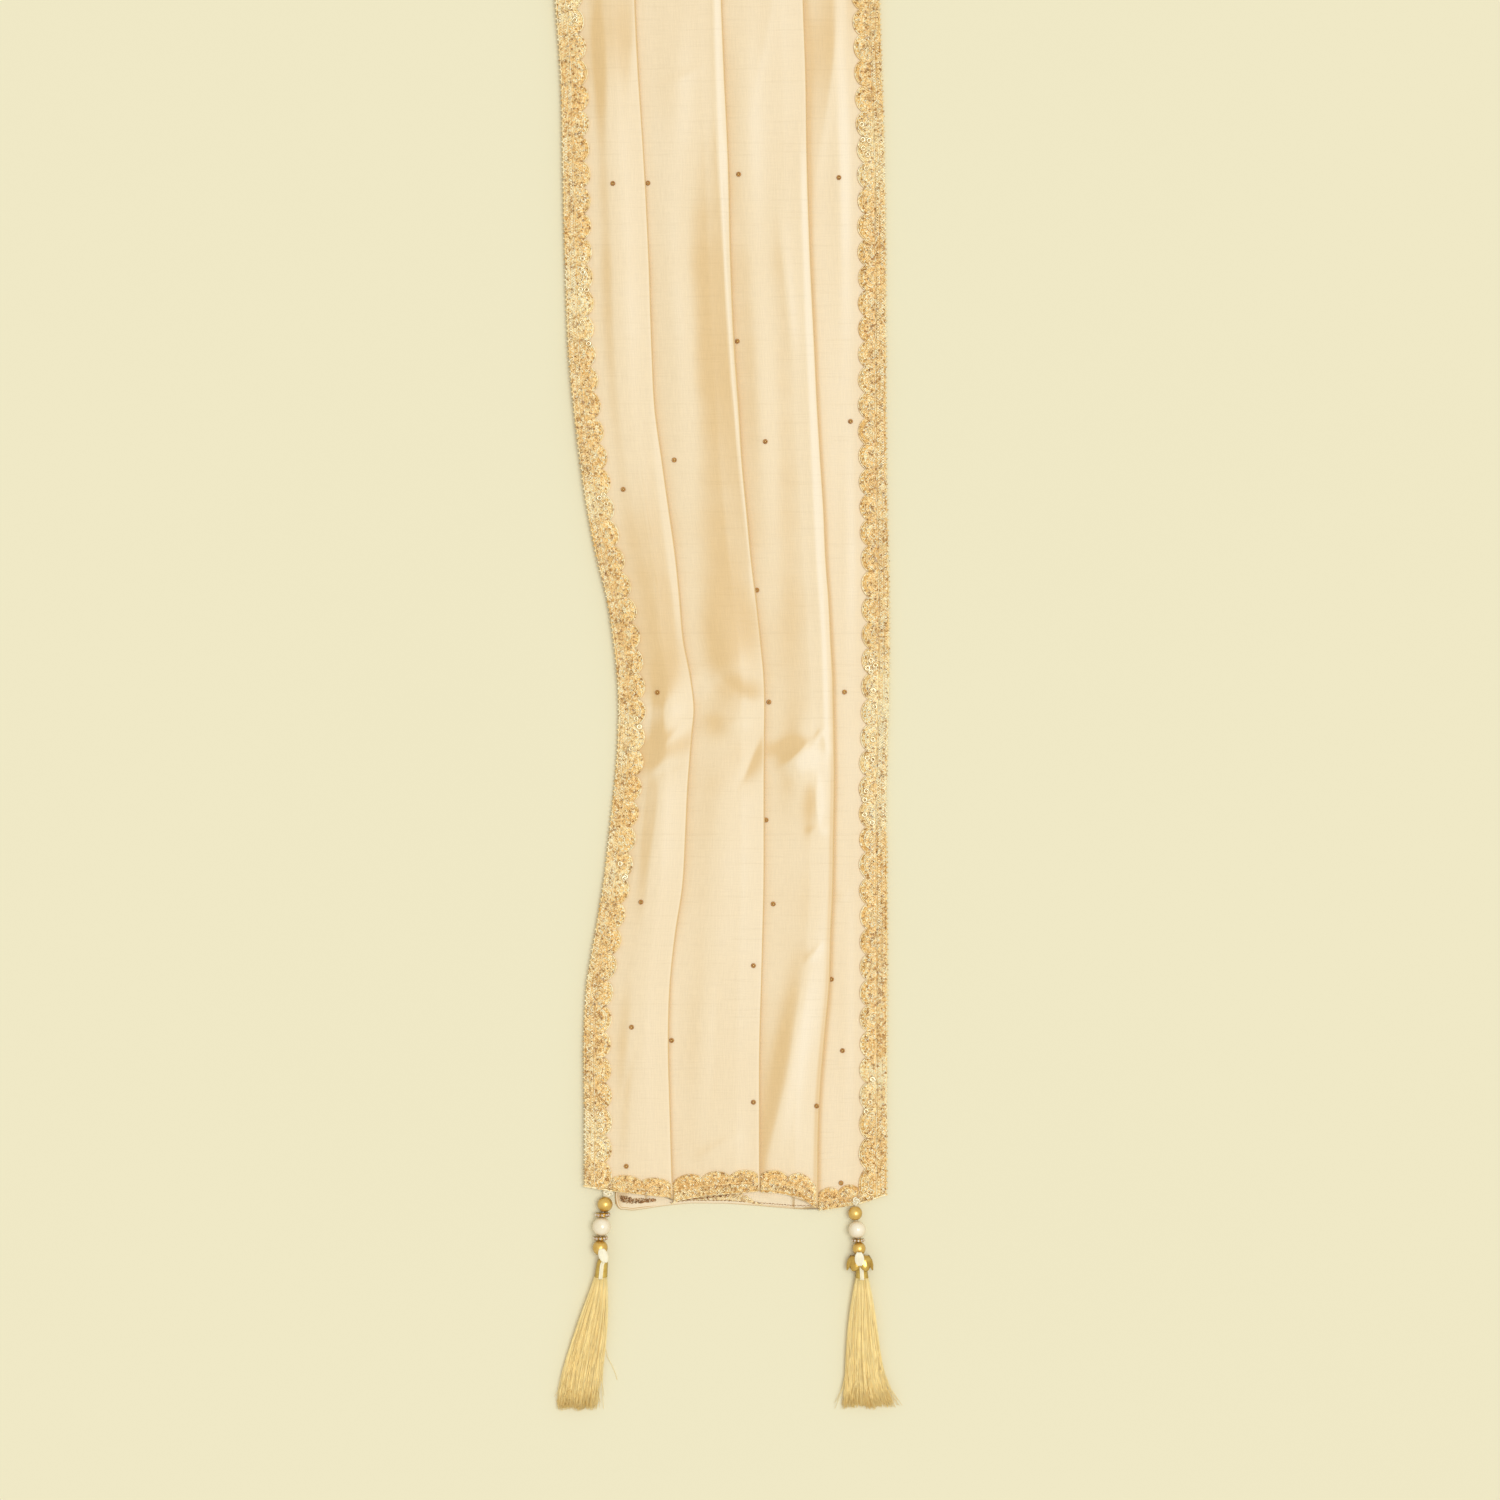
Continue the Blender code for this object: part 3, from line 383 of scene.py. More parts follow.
def crease(line, left_width, right_width, crest, x, along):
    """Height of a crease of height 1 along a line of points from near to far."""
    points = np.array(line)
    lengths = np.hypot(*np.diff(points, axis=0).T)
    nearest = np.full(x.shape, np.inf)
    side = np.zeros(x.shape)
    run = np.zeros(x.shape)
    for k, length in enumerate(lengths):
        step_x, step_along = (points[k + 1] - points[k]) / length
        off_x = x - points[k, 0]
        off_along = along - points[k, 1]
        t = np.clip(off_x * step_x + off_along * step_along, 0.0, length)
        away = np.hypot(off_x - t * step_x, off_along - t * step_along)
        closer = away < nearest
        nearest = np.where(closer, away, nearest)
        side = np.where(closer, off_x * step_along - off_along * step_x, side)
        run = np.where(closer, lengths[:k].sum() + t, run)
    width = np.where(side < 0.0, left_width, right_width)
    flank = np.exp(-(np.sqrt(nearest ** 2 + crest ** 2) - crest) / width)
    fade = min(CREASE_FADE, lengths.sum() * 0.45)
    ends = smooth_step(run / fade) * smooth_step((lengths.sum() - run) / fade)
    return flank * ends


def all_creases():
    """The creases of the table, and their copies past the photo's edge."""
    rows = list(CREASES)
    for pleat, height, left_width, right_width, crest, line in CREASES:
        fold = right_line(pleat)
        turned_line = []
        moved_line = []
        for x, along in line:
            beside = x - float(outline(fold, along))
            for copies, place in ((turned_line, LENGTH - along), (moved_line, along + MOVED_BY)):
                copies.append((beside + float(outline(fold, place)), place))
        rows.append((pleat, height, left_width, right_width, crest, turned_line[::-1]))
        if line[-1][1] < MOVED_BELOW:
            rows.append((pleat, height * MOVED_HEIGHT, left_width, right_width, crest, moved_line))
    return rows


CREASE_ROWS = all_creases()


def relief(pleat, x, along):
    """Height that ridges and creases add; it dies out before the side laces."""
    x, along = np.broadcast_arrays(np.asarray(x, float), np.asarray(along, float))
    total = np.zeros(x.shape)
    for number, middle, centre, half_length, half_width, lean, height in RIDGES:
        if number == pleat:
            down = (along - middle) / half_length
            across = (x - centre - lean * (along - middle)) / half_width
            total += height * np.exp(-down * down - across * across)
    for number, height, left_width, right_width, crest, line in CREASE_ROWS:
        if number != pleat:
            continue
        margin = CREASE_REACH * max(left_width, right_width)
        low = min(point[1] for point in line) - margin
        high = max(point[1] for point in line) + margin
        near = (along > low) & (along < high)
        if near.any():
            total[near] += height * crease(
                line, left_width, right_width, crest, x[near], along[near])
    if pleat == 1:
        total *= smooth_step((x - outline("left", along) - HIDDEN_INSET) / RIDGE_FADE)
    if pleat == 4:
        total *= smooth_step((outline("right", along) - HIDDEN_INSET - x) / RIDGE_FADE)
    return total


def pleat_height(pleat, x, along):
    """Top of a pleat's wall without its own ridges and creases."""
    x, along = np.broadcast_arrays(np.asarray(x, float), np.asarray(along, float))
    if pleat == 4:
        return np.full(x.shape, WALL)
    fold = outline(f"fold_{pleat}", along)
    lies_on = np.maximum(x, fold - RETURN)
    doubled = cloth_top(pleat + 1, lies_on, along) + GAP + 2.0 * WALL + SLIT
    settled = HIDDEN_HEIGHT[pleat] + GAP + WALL
    beside = outline(left_line(pleat), along)
    ease = np.clip(fold - RETURN - beside - 2.0, EASE, WIDEST_EASE)
    height = doubled + (settled - doubled) * ramp((fold - RETURN - x) / ease)
    if pleat == 1:
        foot = outline("left", along) + SLOPE_START
        rise = smooth_step((x - foot) / (fold - TUCK - STEP_CLEARANCE - foot))
        height = WALL + (height - WALL) * rise
    return height


def cloth_top(pleat, x, along):
    return pleat_height(pleat, x, along) + relief(pleat, x, along)


def edge_lift(pleat, x, along):
    """How far the outer part of the first or last pleat stands off the surface."""
    if pleat not in (1, 4):
        return 0.0 * x
    waves = sum(share * np.sin(along / period + shift) for share, period, shift in EDGE_WAVES)
    if pleat == 4:
        inward = outline("right", along) - x
        rise = np.maximum(RIGHT_EDGE_RISE + 0.4 * waves, 0.1)
        return rise * (1.0 - smooth_step(inward / RIGHT_EDGE_WIDTH))
    start = outline("left", along) + EDGE_ROUND
    end = outline("fold_1", along) - RETURN
    doubled = pleat_height(1, np.maximum(x, end), along)
    edge = EDGE_TOP + waves
    seen = edge + (doubled - edge) * ramp((x - start) / (end - start))
    return seen - pleat_height(1, x, along)


def base_slope(pleat, x, along):
    """How steeply a pleat rises to the right, without its ridges and creases."""
    sides = [pleat_height(pleat, place, along) + edge_lift(pleat, place, along)
             for place in (x - 0.5, x + 0.5)]
    return sides[1] - sides[0]


def silk_painted_shading(pleat, x, along):
    """Painted shade below 0.5 and painted light above: the broad patches of painted light and shade,
    the painted shadow beside each fold and the painted shade on each folded edge.
    """
    x, along = np.broadcast_arrays(np.asarray(x, float), np.asarray(along, float))
    total = np.full(x.shape, BASE_TONES[pleat])
    fold = right_line(pleat)
    for number, change, middle_x, middle, half_width, half_length, lean in TONES:
        if number != pleat:
            continue
        for side, place in ((1.0, middle), (-1.0, LENGTH - middle)):
            moved = middle_x - outline(fold, middle) + outline(fold, place)
            down = (along - place) / half_length
            across = (x - moved - side * lean * (along - place)) / half_width
            total = total + change * np.exp(-down * down - across * across)
    if pleat > 1:
        beside = x - outline(left_line(pleat), along) - 0.6
        change, width = FOLD_SHADES[pleat]
        seen = smooth_step((beside + 6.0) / 4.0)
        total = total - change * seen * np.exp(-np.maximum(beside, 0.0) / width)
    if pleat < 4:
        past = x - (outline(f"fold_{pleat}", along) - FOLD_RADIUS)
        total = total - EDGE_SHADE * smooth_step((past + 0.5) / 0.8)
    if pleat == 3:
        fade = smooth_step((BAND_END - along) / BAND_FADE)
        total = total - BAND_DEPTH * fade * smooth_step((past + BAND_START) / BAND_WIDTH)
    return total + LEVELLED.get(pleat, 0.0) * SILK_TILT * base_slope(pleat, x, along)


def surface(pleat, x, along):
    """A point on top of a pleat as x, along and height, with its hem's wander."""
    x, along = np.broadcast_arrays(np.asarray(x, float), np.asarray(along, float))
    z = cloth_top(pleat, x, along) + edge_lift(pleat, x, along)
    return np.stack([x, along + hem_offset(pleat, x, along), z], axis=-1)


class Gather:
    """Points, faces and shades of the parts of one joined mesh."""

    def __init__(self):
        self.points = []
        self.faces = []
        self.shades = []
        self.count = 0

    def add(self, points, faces, shade=0.5):
        points = np.asarray(points, float).reshape(-1, 3)
        for block in faces:
            self.faces += (np.asarray(block) + self.count).tolist()
        self.points.append(points)
        self.shades.append(np.broadcast_to(np.asarray(shade, float), (len(points),)))
        self.count += len(points)


def make_piece(name, gathered, material, replaces=(), uv=None, sharp=None):
    """A mesh object of this name, in metres, that rides on the stole."""
    points = np.concatenate(gathered.points)
    placed = (points + (MIDDLE_X, NEAR_HEM_Y, 0.0)) * MM
    mesh = bpy.data.meshes.new(name)
    mesh.from_pydata(placed.tolist(), [], gathered.faces)
    mesh.shade_smooth()
    if sharp is not None:
        mesh.set_sharp_from_angle(angle=math.radians(sharp))
    shades = np.concatenate(gathered.shades).astype(np.float32)
    mesh.attributes.new("shade", "FLOAT", "POINT").data.foreach_set("value", shades)
    if uv is not None:
        layer = mesh.uv_layers.new(name="weave")
        layer.data.foreach_set("uv", np.asarray(uv, np.float32).ravel())
    mesh.materials.append(material)
    item = bpy.data.objects.new(name, mesh)
    bpy.context.collection.objects.link(item)
    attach(item, BODY)
    if replaces:
        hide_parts(*replaces)
    return item


def ring_faces(rows, size, closed_rows=False):
    """Faces between successive rings of points."""
    last = rows if closed_rows else rows - 1
    row = np.arange(last)[:, None]
    k = np.arange(size)[None, :]
    after = (k + 1) % size
    following = (row + 1) % rows
    corners = (row * size + k, row * size + after, following * size + after, following * size + k)
    return np.stack(np.broadcast_arrays(*corners), axis=-1).reshape(-1, 4)


def fan_caps(rows, sides):
    """Fans of faces that close the first and the last ring of points."""
    base = (rows - 1) * sides
    fan = [(0, k + 1, k) for k in range(1, sides - 1)]
    fan += [(base, base + k, base + k + 1) for k in range(1, sides - 1)]
    return np.array(fan)


def tube(path, radius, sides=3, closed=False):
    """Points and faces of a cord along a path; its radius may change along it."""
    path = np.asarray(path, float)
    if closed:
        run = np.roll(path, -1, axis=0) - np.roll(path, 1, axis=0)
    else:
        run = np.gradient(path, axis=0)
    run /= np.maximum(np.linalg.norm(run, axis=1, keepdims=True), 1e-9)
    side = np.cross(run, (0.0, 0.0, 1.0))
    side /= np.maximum(np.linalg.norm(side, axis=1, keepdims=True), 1e-9)
    up = np.cross(side, run)
    turn = 2.0 * np.pi * (np.arange(sides) / sides + 0.25)
    reach = np.broadcast_to(np.asarray(radius, float), (len(path),))[:, None, None]
    around = side[:, None] * np.cos(turn)[:, None] + up[:, None] * np.sin(turn)[:, None]
    points = (path[:, None] + reach * around).reshape(-1, 3)
    faces = [ring_faces(len(path), sides, closed)]
    if not closed:
        faces.append(fan_caps(len(path), sides))
    return points, faces


def turned(centre, profile, sides, squash=1.0, radius_at=None):
    """Rings of a body turned about a thread that runs along the stole.

    Profile rows are (offset along the thread, radius).
    """
    profile = np.asarray(profile, float)
    turn = 2.0 * np.pi * np.arange(sides) / sides
    radii = profile[:, 1:2] * (np.ones(sides) if radius_at is None else radius_at(turn))
    offsets = np.broadcast_to(profile[:, :1], radii.shape)
    rings = np.stack([radii * np.cos(turn), offsets, radii * np.sin(turn) * squash], axis=-1)
    return (np.asarray(centre, float) + rings).reshape(-1, 3)


def closed_turned(centre, profile, sides, **settings):
    """A turned body whose last ring of points joins its first, like a bead round its hole."""
    points = turned(centre, profile, sides, **settings)
    return points, [ring_faces(len(profile), sides, True)]


def box_of(node):
    """Centre and half sizes of a solid of the frame, in the stole's millimetres."""
    low, high = (np.array(corner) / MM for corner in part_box(node))
    return (low + high) / 2.0 - (MIDDLE_X, NEAR_HEM_Y, 0.0), (high - low) / 2.0


def node(tree, kind, values=None, **settings):
    """A shader node with its sockets filled or linked."""
    made = tree.nodes.new(kind)
    for key, value in settings.items():
        setattr(made, key, value)
    for key, value in (values or {}).items():
        if isinstance(value, bpy.types.NodeSocket):
            tree.links.new(value, made.inputs[key])
        else:
            made.inputs[key].default_value = value
    return made


def calculate(tree, operation, first, second=0.0, third=0.0):
    made = node(tree, "ShaderNodeMath", {0: first, 1: second, 2: third}, operation=operation)
    return made.outputs[0]


def blend_colours(tree, share, first, second, mode="MIX"):
    values = {0: share}
    for key, value in ((6, first), (7, second)):
        values[key] = value if isinstance(value, bpy.types.NodeSocket) else (*value, 1.0)
    made = node(tree, "ShaderNodeMix", values, data_type="RGBA", blend_type=mode)
    return made.outputs[2]


def remap(tree, value, low, high, new_low=0.0, new_high=1.0):
    values = {0: value, 1: low, 2: high, 3: new_low, 4: new_high}
    return node(tree, "ShaderNodeMapRange", values, interpolation_type="SMOOTHSTEP").outputs[0]


def scaled(tree, vector, factors):
    made = node(tree, "ShaderNodeVectorMath", {0: vector, 1: factors}, operation="MULTIPLY")
    return made.outputs[0]


def noise(tree, vector, scale, detail=2.0, roughness=0.5):
    values = {"Vector": vector, "Scale": scale, "Detail": detail, "Roughness": roughness}
    return node(tree, "ShaderNodeTexNoise", values).outputs[0]


def new_group(name, inputs, outputs):
    """An empty shader node group with its sockets, its input node and its output node."""
    tree = bpy.data.node_groups.new(name, "ShaderNodeTree")
    for socket, kind, start in inputs:
        made = tree.interface.new_socket(name=socket, in_out="INPUT", socket_type=kind)
        if start is not None:
            made.default_value = start
    for socket in outputs:
        tree.interface.new_socket(name=socket, in_out="OUTPUT", socket_type="NodeSocketFloat")
    return tree, tree.nodes.new("NodeGroupInput"), tree.nodes.new("NodeGroupOutput")


def make_weave_group():
    """Fine upright warp threads, level weft threads and stray slubs, from a place in mm."""
    tree, entry, leave = new_group(
        "thread_weave",
        (("Place", "NodeSocketVector", None), ("Slubs", "NodeSocketFloat", 1.0)),
        ("Tone", "Height"),
    )
    place = entry.outputs["Place"]
    warp = noise(tree, scaled(tree, place, (1.6, 0.10, 1.0)), 1.0, 2.0)
    weft = noise(tree, scaled(tree, place, (0.09, 1.2, 1.0)), 1.0, 3.0, 0.6)
    fine = noise(tree, scaled(tree, place, (0.7, 2.0, 1.0)), 1.0, 1.0)
    stray = noise(tree, scaled(tree, place, (0.028, 0.62, 1.0)), 1.0, 1.0)
    slub = calculate(tree, "MULTIPLY", remap(tree, stray, 0.62, 0.74), entry.outputs["Slubs"])
    threads = calculate(tree, "MULTIPLY_ADD", warp, 0.45, calculate(tree, "MULTIPLY", weft, 0.35))
    threads = calculate(tree, "MULTIPLY_ADD", fine, 0.20, threads)
    tone = calculate(tree, "MULTIPLY_ADD", slub, -0.07, threads)
    height = calculate(tree, "MULTIPLY_ADD", slub, 0.5, threads)
    tree.links.new(tone, leave.inputs["Tone"])
    tree.links.new(height, leave.inputs["Height"])
    return tree


def make_grain_group():
    """Grains of metal thread: each grain has its own tone and tilt, and a mask marks the few that get
    painted glints.
    """
    tree, entry, leave = new_group(
        "metal_grain",
        (("Place", "NodeSocketVector", None), ("Size", "NodeSocketFloat", 0.8)),
        ("Tone", "Glint", "Height"),
    )
    scale = calculate(tree, "DIVIDE", 1.0, entry.outputs["Size"])
    values = {"Vector": entry.outputs["Place"], "Scale": scale}
    cells = node(tree, "ShaderNodeTexVoronoi", values)
    parts = node(tree, "ShaderNodeSeparateColor", {0: cells.outputs["Color"]})
    tree.links.new(parts.outputs[0], leave.inputs["Tone"])
    tree.links.new(remap(tree, parts.outputs[1], 0.70, 0.95), leave.inputs["Glint"])
    tree.links.new(cells.outputs["Distance"], leave.inputs["Height"])
    return tree


def make_mottle_group():
    """Broad soft patches, as of handling and of uneven dye."""
    tree, entry, leave = new_group(
        "soft_mottle",
        (("Place", "NodeSocketVector", None), ("Size", "NodeSocketFloat", 40.0)),
        ("Tone",),
    )
    scale = calculate(tree, "DIVIDE", 1.0, entry.outputs["Size"])
    tree.links.new(noise(tree, entry.outputs["Place"], scale, 3.0), leave.inputs["Tone"])
    return tree


def make_tilt_group():
    """Painted light and shade of the silk from its tilt toward the key light on the right: deeper where
    it tilts to the left, deeper still on steep flanks and fold edges.
    """
    tree, entry, leave = new_group(
        "painted_tilt_shade", (("Strength", "NodeSocketFloat", 5.0),), ("Tone",))
    facing = node(tree, "ShaderNodeNewGeometry").outputs["Normal"]
    tilt = node(tree, "ShaderNodeVectorMath", {0: facing, 1: (1.0, -0.35, 0.0)},
                operation="DOT_PRODUCT").outputs["Value"]
    upright = node(tree, "ShaderNodeSeparateXYZ", {0: facing}).outputs[2]
    # Painted shade on steep flanks and on the rolled fold edges
    steep = remap(tree, calculate(tree, "ABSOLUTE", upright), 0.97, 0.80)
    level = node(tree, "ShaderNodeClamp", {
        0: calculate(tree, "MULTIPLY_ADD", tilt, entry.outputs["Strength"], 0.62)}).outputs[0]
    tree.links.new(calculate(tree, "MULTIPLY_ADD", steep, -0.9, level), leave.inputs["Tone"])
    return tree


WEAVE = make_weave_group()
GRAIN = make_grain_group()
MOTTLE = make_mottle_group()
TILT = make_tilt_group()


def use_group(tree, group, **values):
    made = tree.nodes.new("ShaderNodeGroup")
    made.node_tree = group
    for key, value in values.items():
        if isinstance(value, bpy.types.NodeSocket):
            tree.links.new(value, made.inputs[key])
        else:
            made.inputs[key].default_value = value
    return made.outputs


def start_material(name, **constants):
    """A material with its shader's plain values set."""
    material = bpy.data.materials.new(name)
    material.use_nodes = True
    tree = material.node_tree
    shader = tree.nodes["Principled BSDF"]
    for key, value in constants.items():
        shader.inputs[key.replace("_", " ")].default_value = value
    return material, tree, shader


def object_place(tree):
    """Place on the stole in millimetres."""
    coordinates = node(tree, "ShaderNodeTexCoord").outputs["Object"]
    return scaled(tree, coordinates, (1000.0, 1000.0, 1000.0))


def weave_place(tree):
    """Place on the flat cloth in millimetres, from the weave's own coordinates."""
    coordinates = node(tree, "ShaderNodeUVMap", uv_map="weave").outputs[0]
    return scaled(tree, coordinates, (1000.0, 1000.0, 1000.0))


def shade_of(tree):
    return node(tree, "ShaderNodeAttribute", attribute_name="shade").outputs["Fac"]


def add_bump(tree, shader, height, strength, distance):
    bump = node(tree, "ShaderNodeBump", {"Height": height, "Strength": strength,
                                         "Distance": distance})
    tree.links.new(bump.outputs[0], shader.inputs["Normal"])


def multiplied(tree, colour, light):
    """A colour made lighter or darker by one value."""
    grey = node(tree, "ShaderNodeCombineColor", {0: light, 1: light, 2: light})
    return blend_colours(tree, 1.0, colour, grey.outputs[0], "MULTIPLY")


def make_silk(name, deep, mid, pale, tilt_strength, slubs):
    """Slubbed silk: painted shade on flanks that turn from the light and painted light on those facing
    it, from the cloth's tilt and from its shade attribute.
    """
    material, tree, shader = start_material(
        name, Roughness=0.42, Sheen_Weight=0.15, Sheen_Roughness=0.4)
    place = weave_place(tree)
    weave = use_group(tree, WEAVE, Place=place, Slubs=slubs)
    mottle = use_group(tree, MOTTLE, Place=place, Size=45.0)["Tone"]
    # Painted light and shade: the tilt tone plus the painted shading carried by the shade attribute
    tilt = use_group(tree, TILT, Strength=tilt_strength)["Tone"]
    placed = calculate(tree, "ADD", calculate(tree, "SUBTRACT", shade_of(tree), 0.5), tilt)
    uneven = calculate(tree, "MULTIPLY_ADD", calculate(tree, "SUBTRACT", mottle, 0.5), 0.3, placed)
    dark_half = remap(tree, uneven, 0.0, 0.5)
    pale_half = remap(tree, uneven, 0.5, 1.0)
    colour = blend_colours(tree, dark_half, deep, mid)
    colour = blend_colours(tree, pale_half, colour, pale)
    thread = remap(tree, weave["Tone"], 0.25, 0.75, 0.93, 1.05)
    tree.links.new(multiplied(tree, colour, thread), shader.inputs["Base Color"])
    roughness = remap(tree, weave["Tone"], 0.2, 0.8, 0.36, 0.50)
    tree.links.new(roughness, shader.inputs["Roughness"])
    add_bump(tree, shader, weave["Height"], 0.35, 0.0003)
    return material


def make_lace_thread(name, dark, gold, pale, grain_size, metallic, painted_glow=0.0):
    """Metal thread: grains from brown specks to gold, paler where the shade is high, with painted
    glints on a few grains and a painted warm glow.
    """
    material, tree, shader = start_material(name, Metallic=metallic, Emission_Strength=painted_glow)
    place = object_place(tree)
    grain = use_group(tree, GRAIN, Place=place, Size=grain_size)
    shade = shade_of(tree)
    base = calculate(tree, "SUBTRACT", shade, 0.25)
    tone = calculate(tree, "MULTIPLY_ADD", grain["Tone"], 0.55, base)
    colour = blend_colours(tree, remap(tree, tone, 0.05, 0.55), dark, gold)
    colour = blend_colours(tree, remap(tree, tone, 0.60, 1.0), colour, pale)
    # Painted glints: a few grains turn pale
    colour = blend_colours(tree, grain["Glint"], colour, pale)
    brown = (dark[0] * 0.62, dark[1] * 0.50, dark[2] * 0.5)
    colour = blend_colours(tree, remap(tree, grain["Tone"], 0.15, 0.05, 0.0, 0.7), colour, brown)
    tree.links.new(colour, shader.inputs["Base Color"])
    # Painted warm glow, brighter on some grains
    lit = remap(tree, grain["Tone"], 0.1, 0.9)
    glint = blend_colours(tree, lit, (0.02, 0.01, 0.0), (0.14, 0.10, 0.03))
    tree.links.new(glint, shader.inputs["Emission Color"])
    tree.links.new(remap(tree, grain["Tone"], 0.0, 1.0, 0.22, 0.5), shader.inputs["Roughness"])
    add_bump(tree, shader, grain["Height"], 0.5, 0.0003)
    return material


def make_gold(name, colour, deep, roughness, coat, metallic=0.85):
    """Plated bead gold with faint patches, and a painted dark reflection toward its outline."""
    material, tree, shader = start_material(
        name, Metallic=metallic, Coat_Weight=coat, Coat_Roughness=0.12)
    mottle = use_group(tree, MOTTLE, Place=object_place(tree), Size=3.0)["Tone"]
    plated = blend_colours(tree, remap(tree, mottle, 0.3, 0.7), deep, colour)
    # Painted dark reflection: deeper toward the outline, where the surface turns from view
    rim = tuple(0.45 * part for part in deep)
    facing = node(tree, "ShaderNodeLayerWeight", {"Blend": 0.55}).outputs["Facing"]
    tree.links.new(blend_colours(tree, facing, plated, rim), shader.inputs["Base Color"])
    tree.links.new(remap(tree, mottle, 0.2, 0.8, roughness, roughness + 0.1),
                   shader.inputs["Roughness"])
    return material


def make_pearl():
    """White pearl under a clear coat: its colour deepens toward the outline, as painted shade."""
    material, tree, shader = start_material(
        "white_pearl", Coat_Weight=0.7, Coat_Roughness=0.06)
    mottle = use_group(tree, MOTTLE, Place=object_place(tree), Size=4.0)["Tone"]
    patches = remap(tree, mottle, 0.3, 0.7)
    body = blend_colours(tree, patches, (0.90, 0.79, 0.56), (0.95, 0.86, 0.66))
    # Painted shade: deeper toward the outline, where the surface turns from view
    facing = node(tree, "ShaderNodeLayerWeight", {"Blend": 0.5}).outputs["Facing"]
    colour = blend_colours(tree, facing, body, (0.80, 0.64, 0.42))
    tree.links.new(colour, shader.inputs["Base Color"])
    tree.links.new(remap(tree, mottle, 0.2, 0.8, 0.22, 0.32), shader.inputs["Roughness"])
    return material


def make_crystal():
    """Small rhinestones: facets painted at random from dark to pale, as painted reflections."""
    material, tree, shader = start_material("crystal", Metallic=0.35, IOR=1.7)
    grain = use_group(tree, GRAIN, Place=object_place(tree), Size=0.7)
    colour = blend_colours(tree, grain["Tone"], (0.50, 0.32, 0.20), (0.98, 0.90, 0.80))
    tree.links.new(colour, shader.inputs["Base Color"])
    tree.links.new(remap(tree, grain["Tone"], 0.0, 1.0, 0.05, 0.18), shader.inputs["Roughness"])
    return material


def make_strand_silk(name, root, middle, tip, roughness, painted_glow=0.0):
    """Loose silk strands: shade is a strand's own tone plus its distance down the tassel; where it is
    set, a painted warm glow lightens them.
    """
    material, tree, shader = start_material(
        name, Sheen_Weight=0.5, Sheen_Roughness=0.35, Sheen_Tint=(1.0, 0.88, 0.58, 1.0),
        Emission_Color=(0.105, 0.066, 0.004, 1.0), Emission_Strength=painted_glow)
    place = object_place(tree)
    mottle = use_group(tree, MOTTLE, Place=place, Size=5.0)["Tone"]
    shade = shade_of(tree)
    colour = blend_colours(tree, remap(tree, shade, 0.0, 0.5), tip, middle)
    colour = blend_colours(tree, remap(tree, shade, 0.5, 1.0), colour, root)
    light = remap(tree, mottle, 0.25, 0.75, 0.94, 1.04)
    tree.links.new(multiplied(tree, colour, light), shader.inputs["Base Color"])
    tree.links.new(remap(tree, mottle, 0.2, 0.8, roughness, roughness + 0.1),
                   shader.inputs["Roughness"])
    return material


def make_floor_finish():
    """The floor's plain pale finish."""
    material, tree, shader = start_material("floor", Roughness=0.9, Specular_IOR_Level=0.1)
    mottle = use_group(tree, MOTTLE, Place=object_place(tree), Size=300.0)["Tone"]
    colour = blend_colours(tree, mottle, (0.817, 0.760, 0.532), (0.827, 0.770, 0.542))
    tree.links.new(colour, shader.inputs["Base Color"])
    return material


SILK = make_silk(
    "silk", (0.76, 0.53, 0.25), (0.85, 0.68, 0.43), (0.885, 0.745, 0.525), SILK_TILT, 1.0)
SILK_BACK = make_silk(
    "silk_wrong_side", (0.70, 0.47, 0.20), (0.83, 0.65, 0.40), (0.87, 0.72, 0.48), 2.0, 0.4)
LACE_CORD = make_lace_thread(
    "lace_cord", (0.80, 0.48, 0.15), (1.0, 0.78, 0.40), (1.0, 0.94, 0.68), 1.2, 0.08, 0.75)
LACE_TAPE = make_lace_thread(
    "lace_tape", (0.66, 0.36, 0.09), (0.90, 0.60, 0.22), (1.0, 0.84, 0.48), 1.2, 0.05, 0.75)
# A darker copy of the lace's colours: painted shade on the lace in the fold's mouth and the cords in
# the gaps at the hem
SHADED_LACE = make_lace_thread(
    "shaded_lace", (0.30, 0.13, 0.04), (0.55, 0.29, 0.10), (0.90, 0.74, 0.48), 0.8, 0.30)
COPPER = make_gold("copper_sequin", (0.58, 0.27, 0.05), (0.42, 0.17, 0.03), 0.3, 0.2, 0.4)
PALE_GOLD = make_gold("pale_gold_sequin", (1.0, 0.88, 0.60), (0.90, 0.68, 0.34), 0.18, 0.3, 0.5)
GOLD_BEAD = make_gold("gold_bead", (0.95, 0.64, 0.17), (0.86, 0.52, 0.10), 0.30, 0.6, 0.55)
BRIGHT_GOLD = make_gold("bright_gold", (0.90, 0.62, 0.15), (0.70, 0.42, 0.07), 0.18, 0.4)
WHITE_PEARL = make_pearl()
CRYSTAL = make_crystal()
# The tassel's strands carry a painted warm glow
TASSEL_SILK = make_strand_silk(
    "tassel_silk", (1.0, 0.84, 0.42), (1.0, 0.77, 0.32), (0.84, 0.53, 0.12), 0.40, 0.55)
CORD_SILK = make_strand_silk(
    "cord_silk", (0.95, 0.88, 0.66), (0.92, 0.81, 0.53), (0.74, 0.57, 0.28), 0.38)
WOUND_GOLD = make_gold("wound_gold", (0.84, 0.60, 0.14), (0.66, 0.41, 0.06), 0.32, 0.2, 0.4)
FLOOR = make_floor_finish()


